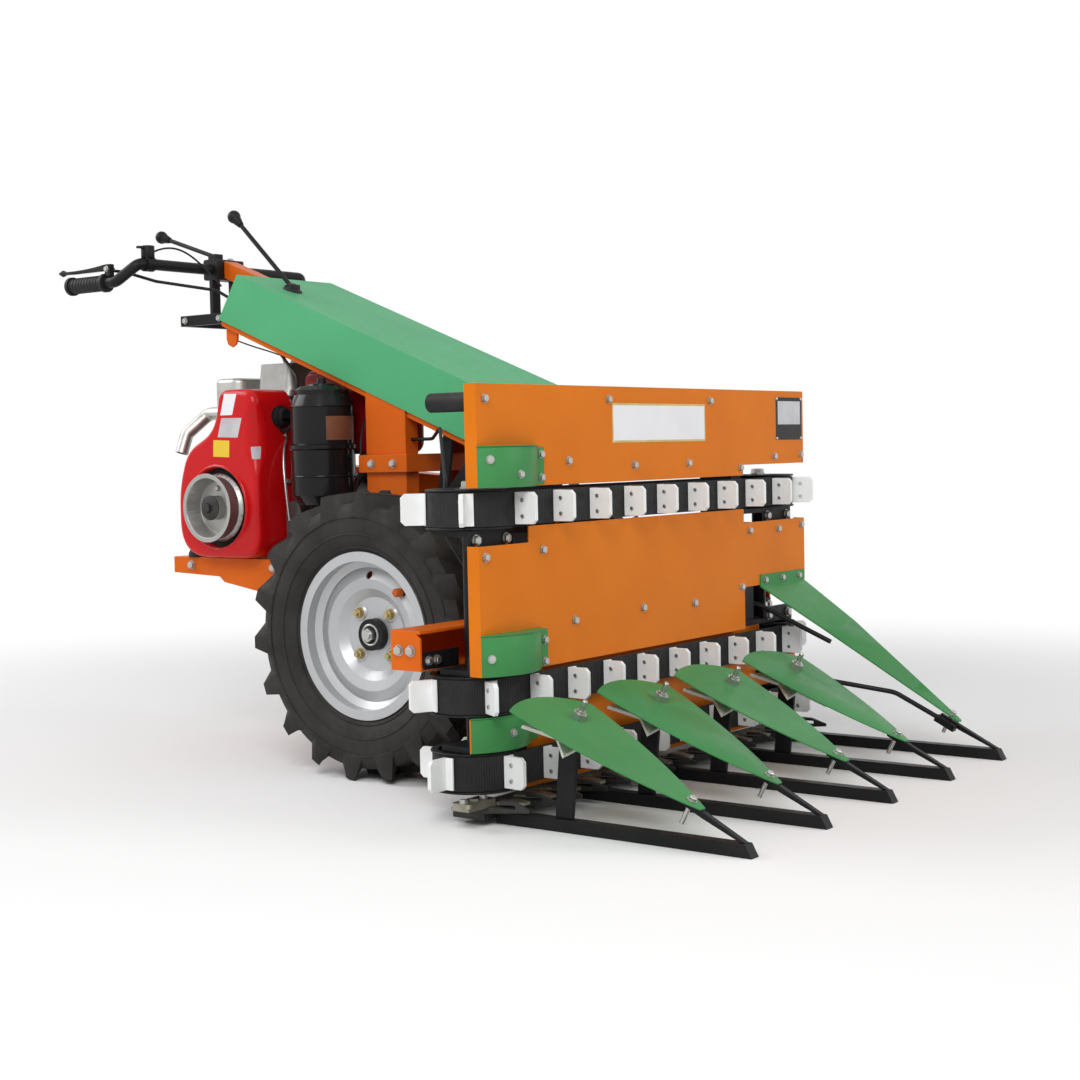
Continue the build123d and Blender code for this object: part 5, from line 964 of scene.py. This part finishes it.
# %% Fan screen and starter
SCREEN_Y = -225.6
PULLEY_SEAT = -237.0
HUB = [(0, 23), (27, 23), (27, 25), (20, 29), (0, 29)]
HUB_FACE = PULLEY_SEAT - 29
SCREW_CIRCLE = 42.0
screen = stand(spot(CRANK[0], SCREEN_Y, CRANK[1]), OUT_RIGHT)
mesh = bmesh.new()
add_disc(mesh, screen, 85.9, 0.6, 72)
for ring in (78, 80.5, 83, 85):
    add_ring(mesh, screen, ring, 1.0, 72, 0.5)
add_piece("fan_screen", mesh, "satin_black")
mesh = bmesh.new()
add_turned(mesh, stand(spot(CRANK[0], PULLEY_SEAT, CRANK[1]), OUT_RIGHT), HUB)
add_bolt(mesh, spot(CRANK[0], HUB_FACE, CRANK[1]), OUT_RIGHT, 19, washer=False)
add_piece("starter_hub", mesh, "cast_iron", "starter")
mesh = bmesh.new()
for n in range(3):
    turn = math.pi * (0.5 + 2 * n / 3)
    across, rise = SCREW_CIRCLE * math.cos(turn), SCREW_CIRCLE * math.sin(turn)
    add_bolt(mesh, spot(CRANK[0] + across, PULLEY_SEAT, CRANK[1] + rise), OUT_RIGHT, 10)
add_piece("starter_screws", mesh, "zinc_steel", "starter")

# %% [markdown]
# Shroud's front flank: screws hold the pressing to the engine, and the black speed knob stands above
# them. The knob is turned from a stepped profile, and a box across its face is the grip. A cylinder alone
# would read as a plug.

# %% Shroud screws and speed knob
FLANK_SCREWS = [(-383.5, -150, 690), (-381.5, -150, 590), (-382, -150, 505)]
KNOB = [(0, 0), (24, 0), (24, 9), (19, 12), (19, 20), (15, 23), (0, 23)]
KNOB_GRIP = (40.0, 9.0, 8.0)
KNOB_GRIP_SEAT = 22.0
mesh = bmesh.new()
for point in FLANK_SCREWS:
    add_bolt(mesh, spot(*point), OUT_FRONT, 9)
add_piece("shroud_screws", mesh, "zinc_steel")
knob = stand(spot(-386, -166, 730), OUT_FRONT)
mesh = bmesh.new()
add_turned(mesh, knob, KNOB)
add_box(mesh, knob @ Matrix.Translation((0, 0, KNOB_GRIP_SEAT * MM)), *KNOB_GRIP)
add_piece("speed_knob", mesh, "satin_black")

# %% [markdown]
# Air filter: a canister with two clamp bands, a wing nut's boss on its lid and a plain copper-coloured
# patch that follows its round. The patch is one upright edge spun through part of a turn and given a thin
# wall, because a flat slab would not lie on the canister.

# %% Patch and bands of the air filter
FILTER_Y = middle_of("air_filter")[1]
FILTER_X = face_of("air_filter", "front") - (face_of("air_filter", "left") - FILTER_Y)
FILTER_TOP = face_of("air_filter", "top")
FILTER_R = 68.0
PATCH_R = FILTER_R + 0.2
PATCH_START, PATCH_TURN = math.radians(-40), math.radians(66)
PATCH_WALL = 0.0004
FILTER_BOSS = [(0, 0), (30, 0), (28, 5), (10, 7), (9, 18), (0, 19)]
edge_x = FILTER_X + PATCH_R * math.cos(PATCH_START)
edge_y = FILTER_Y + PATCH_R * math.sin(PATCH_START)
mesh = bmesh.new()
ends = [mesh.verts.new(spot(edge_x, edge_y, z)) for z in (676, 726)]
mesh.edges.new(ends)
bmesh.ops.spin(
    mesh, geom=ends + list(mesh.edges), cent=spot(FILTER_X, FILTER_Y, 0), axis=OUT_UP, dvec=(0, 0, 0),
    angle=PATCH_TURN, steps=14, use_merge=False, use_duplicate=False,
)
bmesh.ops.solidify(mesh, geom=list(mesh.faces), thickness=PATCH_WALL)
add_piece("filter_label", mesh, "plate_copper")
mesh = bmesh.new()
for z in (600, 748):
    add_ring(mesh, stand(spot(FILTER_X, FILTER_Y, z), OUT_UP), FILTER_R, 2.2, 48)
add_turned(mesh, stand(spot(FILTER_X, FILTER_Y, FILTER_TOP), OUT_UP), FILTER_BOSS)
add_piece("filter_bands", mesh, "gloss_black")

# %% [markdown]
# Engine nuts: four hold the cylinder head down, one the rocker cover, and three the cover on the
# crankcase's front. They show as bright points among the dull castings, so they get a mesh of their own
# in zinc.

# %% Engine nuts
HEAD_DECK, ROCKER_TOP = 790, 866
BLOCK_FRONT = face_of("engine_block", "front")
mesh = bmesh.new()
for x in (-515, -435):
    for y in (-72, 12):
        add_bolt(mesh, spot(x, y, HEAD_DECK), OUT_UP, 13)
add_bolt(mesh, spot(-445, -30, ROCKER_TOP), OUT_UP, 19)
for y in (-95, -30, 35):
    add_bolt(mesh, spot(BLOCK_FRONT, y, 550), OUT_FRONT, 12)
add_piece("engine_nuts", mesh, "zinc_steel")

# %% [markdown]
# Pipes and hoses of the engine: a steel injection pipe, two rubber hoses from the tank and a thin cable
# beside the post. Each follows a few listed points. A smooth spline goes near them, as a hose does when it
# is pushed on at both ends, where straight runs would look like bent wire.


# %% Pipes and hoses
def add_pipe(name, radius, finish, points):
    """Round pipe, hose or wire along a smooth curve near the given points."""
    curve = bpy.data.curves.new(name, "CURVE")
    curve.dimensions = "3D"
    curve.bevel_depth = radius * MM
    curve.bevel_resolution = 3
    curve.use_fill_caps = True
    curve.resolution_u = 8
    line = curve.splines.new("NURBS")
    line.points.add(len(points) - 1)
    for point, knot in zip(points, line.points):
        knot.co = (*spot(*point), 1.0)
    line.use_endpoint_u = True
    line.order_u = 3
    curve.materials.append(finishes[finish])
    piece = bpy.data.objects.new(name, curve)
    scene.collection.objects.link(piece)
    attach(piece, "chassis")
    print(name, len(points), "points, radius", radius, "mm")


add_pipe("injection_pipe", 3.2, "zinc_steel", [
    (-352, -176, 505), (-352, -184, 560), (-368, -176, 640), (-390, -140, 690), (-399, -110, 720),
])
add_pipe("fuel_hose", 7.0, "grip_rubber", [
    (-222, -72, 648), (-222, -76, 612), (-232, -90, 580), (-268, -104, 548), (-331, -100, 520),
])
add_pipe("return_hose", 6.0, "grip_rubber", [
    (-240, -60, 648), (-240, -62, 610), (-250, -80, 565), (-290, -96, 530), (-331, -84, 500),
])
add_pipe("post_cable", 2.5, "grip_rubber", [
    (-197, -80, 742), (-176, -132, 705), (-162, -151, 640), (-172, -150, 580), (-222, -138, 520),
    (-330, -110, 500),
])

# %% [markdown]
# Fuel tap: a small black body on the tank's front, with an orange cap on its end. Body and cap are two
# profiles turned on the same axis, so that they meet without a gap, and two pieces, because each has its
# own colour.

# %% Fuel tap
TAP_LONG = 24
TAP_BODY = [(0, 0), (13, 0), (13, 12), (9, 16), (9, TAP_LONG), (0, TAP_LONG)]
TAP_CAP = [(0, TAP_LONG), (8, TAP_LONG), (8, 30), (6, 32), (0, 32)]
TANK_FRONT = face_of("fuel_tank", "front")
tap = stand(spot(TANK_FRONT, -62, 772), OUT_FRONT)
mesh = bmesh.new()
add_turned(mesh, tap, TAP_BODY, 24)
add_piece("fuel_tap", mesh, "satin_black")
mesh = bmesh.new()
add_turned(mesh, tap, TAP_CAP, 20)
add_piece("tap_cap", mesh, "cap_orange")

# %% [markdown]
# Chassis: the engine's bed is held on four rubber mounts with a bolt through each, and bolts along the
# rails and the post's collar tie the frame together. The mounts are turned, because moulded rubber feet
# are round and taper.

# %% Rubber mounts and chassis bolts
MOUNT = [(0, 0), (26, 0), (26, 8), (18, 24), (18, 30), (0, 30)]
MOUNT_HIGH = 30
RAIL_SIDE, RAIL_TOP = face_of("chassis_rails", "left"), face_of("chassis_rails", "top")
COLLAR_SIDE = face_of("post_collar", "left")
SIDE_BOLTS = [
    # forward, side, up, across the flats
    (-640, RAIL_SIDE, 404, 15), (-380, RAIL_SIDE, 404, 15), (-170, RAIL_SIDE, 395, 15),
    (-20, RAIL_SIDE, 395, 15), (-125, COLLAR_SIDE, 624, 13), (-65, COLLAR_SIDE, 624, 13),
]
mounts = bmesh.new()
mesh = bmesh.new()
for x in (-634, -362):
    for y in (-180, 180):
        add_turned(mounts, stand(spot(x, y, RAIL_TOP), OUT_UP), MOUNT, 28)
        add_bolt(mesh, spot(x, y, RAIL_TOP + MOUNT_HIGH), OUT_UP, 16)
for x, y, z, flats in SIDE_BOLTS:
    for hand, out in SIDES:
        add_bolt(mesh, spot(x, hand * y, z), out, flats)
add_piece("rubber_mounts", mounts, "grip_rubber")
add_piece("chassis_bolts", mesh, "zinc_steel")

# %% [markdown]
# Grips and handle: the rubber grips are moulded with ribs, which are rings here so that they show on the
# outline. Bolts clamp the handlebar in its head, hold the hanger below it and make the pivots of the hand
# levers.

# %% Grip ribs and handle bolts
HANDLEBAR_R = 12.5
GRIP_Y = 285
GRIP_Z = face_of("handlebar_right", "bottom") + HANDLEBAR_R
RIBS_A_GRIP, GRIP_RIB_PITCH, FIRST_GRIP_RIB = 11, 10, -908
LEVER_PIVOT = (-788, GRIP_Z + 30)
LEVER_HALF = 7
HEAD_REAR, HANDLE_HEAD_TOP = face_of("handle_head", "rear"), face_of("handle_head", "top")
HANGER_SIDE = face_of("handle_hanger", "left")
mesh = bmesh.new()
for y in (-GRIP_Y, GRIP_Y):
    for n in range(RIBS_A_GRIP):
        place = spot(FIRST_GRIP_RIB + GRIP_RIB_PITCH * n, y, GRIP_Z)
        add_ring(mesh, stand(place, OUT_FRONT), 16.6, 1.6, 28)
add_piece("grip_ribs", mesh, "grip_rubber")
mesh = bmesh.new()
for y in (-GRIP_Y, GRIP_Y):
    for hand, out in SIDES:
        add_bolt(mesh, spot(LEVER_PIVOT[0], y + hand * LEVER_HALF, LEVER_PIVOT[1]), out, 10)
for y in (-28, 28):
    add_bolt(mesh, spot(-730, y, HANDLE_HEAD_TOP), OUT_UP, 13)
    for z in (1066, 1094):
        add_bolt(mesh, spot(HEAD_REAR, y, z), OUT_REAR, 13)
for hand, out in SIDES:
    for x in (-712, -600):
        add_bolt(mesh, spot(x, hand * HANGER_SIDE, 957), out, 11)
add_piece("handle_bolts", mesh, "zinc_steel")

# %% [markdown]
# Lever boot: a rubber boot seals the hole where the gear lever comes out of the hood. It is turned on an
# axis that stands square to the hood's slope, and its base sinks just under the sheet, so that no gap
# shows round it.

# %% Lever boot
HOOD_SLOPE = 0.402
BOOT = [(0, 0), (22, 0), (21, 4), (13, 8), (10, 16), (0, 17)]
hood_out = Vector((HOOD_SLOPE, 0, 1)).normalized()
mesh = bmesh.new()
add_turned(mesh, stand(spot(-430, -70, 1009), hood_out), BOOT, 28)
add_piece("lever_boot", mesh, "grip_rubber")

# %% [markdown]
# Throttle: a black clamp on the handlebar carries a short thumb bar, and a wire leaves it for the hood.
# The clamp is a disc across the tube and a box above it. The wire follows given points in a loose arc,
# as it does in the photograph.

# %% Throttle clamp and wire
CLAMP = (-723, -240, 1080.6)
THUMB_BAR = (9.0, 34.0, 5.0)
THUMB_BAR_Z = 1114
mesh = bmesh.new()
add_disc(mesh, stand(spot(*CLAMP), OUT_LEFT), 17, 24, 28)
add_box(mesh, Matrix.Translation(spot(CLAMP[0], CLAMP[1], THUMB_BAR_Z)), *THUMB_BAR)
add_piece("throttle_clamp", mesh, "satin_black")
add_pipe("throttle_wire", 2.2, "grip_rubber", [
    (-723, -214, 1108), (-718, -185, 1122), (-712, -130, 1118), (-704, -70, 1078), (-690, -40, 1040),
])

# %% [markdown]
# Valve lifter: an orange tab under the hood's end carries the thin wire that lifts the valve for
# starting. The tab is cut from plate with a round lower end, so it is an outline that is extruded. Lever
# ends are small balls that keep the hand from slipping, turned from a short profile.

# %% Wire tab, lifter wire and lever ends
TAB_OUTLINE = [(-582, 948), (-582, 908), (-577, 896), (-565, 890), (-553, 896), (-548, 908), (-548, 934)]
TAB_Y, TAB_T = -124, 5
LEVER_END = [(0, 0), (5, 1.5), (7.5, 7), (6, 13), (0, 15)]
LEVER_TIP = face_of("hand_levers", "rear")
mesh = bmesh.new()
add_slab(mesh, [spot(x, TAB_Y, z) for x, z in TAB_OUTLINE], OUT_RIGHT, TAB_T)
add_piece("wire_tab", mesh, "frame_orange")
add_pipe("lifter_wire", 1.6, "satin_black", [
    (-563, -127, 908), (-540, -98, 893), (-515, -60, 880), (-492, -30, 866),
])
mesh = bmesh.new()
for y in (-GRIP_Y, GRIP_Y):
    add_turned(mesh, stand(spot(LEVER_TIP, y, GRIP_Z + 31.5), OUT_FRONT), LEVER_END, 20)
add_piece("lever_ends", mesh, "satin_black")

# %% [markdown]
# Floor: a pale sheet that fades to white away from the machine, as a paper roll does in a studio. More
# light would whiten it too, but would bleach the paint. So the far floor glows only for rays that show
# it, and near the machine it stays a plain matt sheet that keeps the shadow.


# %% Floor
def seen_rays(tree):
    """1 for rays that show the surround: straight from the camera, mirrored or let through."""
    rays = tree.nodes.new("ShaderNodeLightPath")
    bent = calculate(tree, "MAXIMUM", rays.outputs["Is Glossy Ray"], rays.outputs["Is Transmission Ray"])
    return calculate(tree, "MAXIMUM", rays.outputs["Is Camera Ray"], bent)


FLOOR_REACH = 40.0
FADE_START = 1.3
FADE_END = 3.2
floor_mesh = bmesh.new()
bmesh.ops.create_grid(floor_mesh, x_segments=1, y_segments=1, size=FLOOR_REACH)
floor_data = bpy.data.meshes.new("floor")
floor_mesh.to_mesh(floor_data)
floor_mesh.free()
floor = bpy.data.objects.new("floor", floor_data)
scene.collection.objects.link(floor)
floor_material, tree, shader, place = start_finish("pale_floor")
shader.inputs["Base Color"].default_value = (0.93, 0.93, 0.93, 1)
shader.inputs["Roughness"].default_value = 0.9
shader.inputs["Specular IOR Level"].default_value = 0.0
length = tree.nodes.new("ShaderNodeVectorMath")
length.operation = "LENGTH"
tree.links.new(place, length.inputs[0])
fade = tree.nodes.new("ShaderNodeMapRange")
fade.interpolation_type = "SMOOTHSTEP"
fade.inputs["From Min"].default_value = FADE_START
fade.inputs["From Max"].default_value = FADE_END
tree.links.new(length.outputs["Value"], fade.inputs["Value"])
glow = tree.nodes.new("ShaderNodeEmission")
mix = tree.nodes.new("ShaderNodeMixShader")
tree.links.new(calculate(tree, "MULTIPLY", fade.outputs["Result"], seen_rays(tree)), mix.inputs["Fac"])
tree.links.new(shader.outputs["BSDF"], mix.inputs[1])
tree.links.new(glow.outputs["Emission"], mix.inputs[2])
tree.links.new(mix.outputs["Shader"], tree.nodes["Material Output"].inputs["Surface"])
floor_data.materials.append(floor_material)
print("floor fades to white from", FADE_START, "to", FADE_END, "m")

# %% [markdown]
# Surround: an even white room. It is seen as white, and so it is mirrored in the metal, but it lights the
# machine less than it shows. One strength for both would either grey the background or wash the paint
# out.

# %% Surround
ROOM_LIGHT = 0.42
world = bpy.data.worlds.new("studio")
scene.world = world
world.use_nodes = True
tree = world.node_tree
seen = tree.nodes["Background"]
seen.inputs["Color"].default_value = (1, 1, 1, 1)
seen.inputs["Strength"].default_value = 1.0
lit = tree.nodes.new("ShaderNodeBackground")
lit.inputs["Color"].default_value = (1, 1, 1, 1)
lit.inputs["Strength"].default_value = ROOM_LIGHT
mix = tree.nodes.new("ShaderNodeMixShader")
tree.links.new(seen_rays(tree), mix.inputs["Fac"])
tree.links.new(lit.outputs["Background"], mix.inputs[1])
tree.links.new(seen.outputs["Background"], mix.inputs[2])
tree.links.new(mix.outputs["Shader"], tree.nodes["World Output"].inputs["Surface"])
print("surround shows as white and lights at", ROOM_LIGHT)

# %% [markdown]
# Lamps: three large round soft boxes, as in a product studio. The key stands high, behind the camera and
# to its left, a weaker one opens the shadows on the header's far side, and the rear one draws the outline
# of engine and handle. Small lamps would throw hard shadows that the photograph doesn't have.

# %% Lamps
LAMPS = {
    # name: place, size, watts
    "key": ((1.9, -3.6, 3.2), 2.6, 112.0),
    "front": ((3.8, 1.2, 2.2), 2.2, 40.0),
    "rear": ((-3.0, -1.6, 2.8), 2.4, 60.0),
}
AIM = Vector((0.0, 0.0, 0.5))
for name, (post, size, watts) in LAMPS.items():
    lamp_data = bpy.data.lights.new(name, "AREA")
    lamp_data.shape = "DISK"
    lamp_data.size = size
    lamp_data.energy = watts
    lamp = bpy.data.objects.new(name, lamp_data)
    lamp.location = post
    lamp.rotation_euler = (AIM - Vector(post)).to_track_quat("-Z", "Y").to_euler()
    scene.collection.objects.link(lamp)
scene.view_settings.view_transform = "Standard"
print("lamps", sorted(LAMPS))

# %% [markdown]
# Camera: it stands where the photograph was taken from, ahead of the machine's right front corner, lower
# than the handle, and looks slightly down. It could be aimed at a point, but yaw, pitch and roll can each
# be set by itself when the picture is laid over the photograph.

# %% Camera
EYE = Vector((2.35, -2.87, 0.65))
YAW = math.radians(37.1)
PITCH = math.radians(3.0)
ROLL = math.radians(-1.2)
LENS = 58.5
forward = Vector((-math.sin(YAW) * math.cos(PITCH), math.cos(YAW) * math.cos(PITCH), -math.sin(PITCH)))
right = Vector((math.cos(YAW), math.sin(YAW), 0.0))
up = right.cross(forward)
camera_data = bpy.data.cameras.new("camera")
camera_data.lens = LENS
camera = bpy.data.objects.new("camera", camera_data)
axes = Matrix((right, up, -forward)).transposed().to_4x4()
camera.matrix_world = Matrix.Translation(EYE) @ axes @ Matrix.Rotation(ROLL, 4, "Z")
scene.collection.objects.link(camera)
scene.camera = camera
print("camera at", list(EYE), "lens", LENS)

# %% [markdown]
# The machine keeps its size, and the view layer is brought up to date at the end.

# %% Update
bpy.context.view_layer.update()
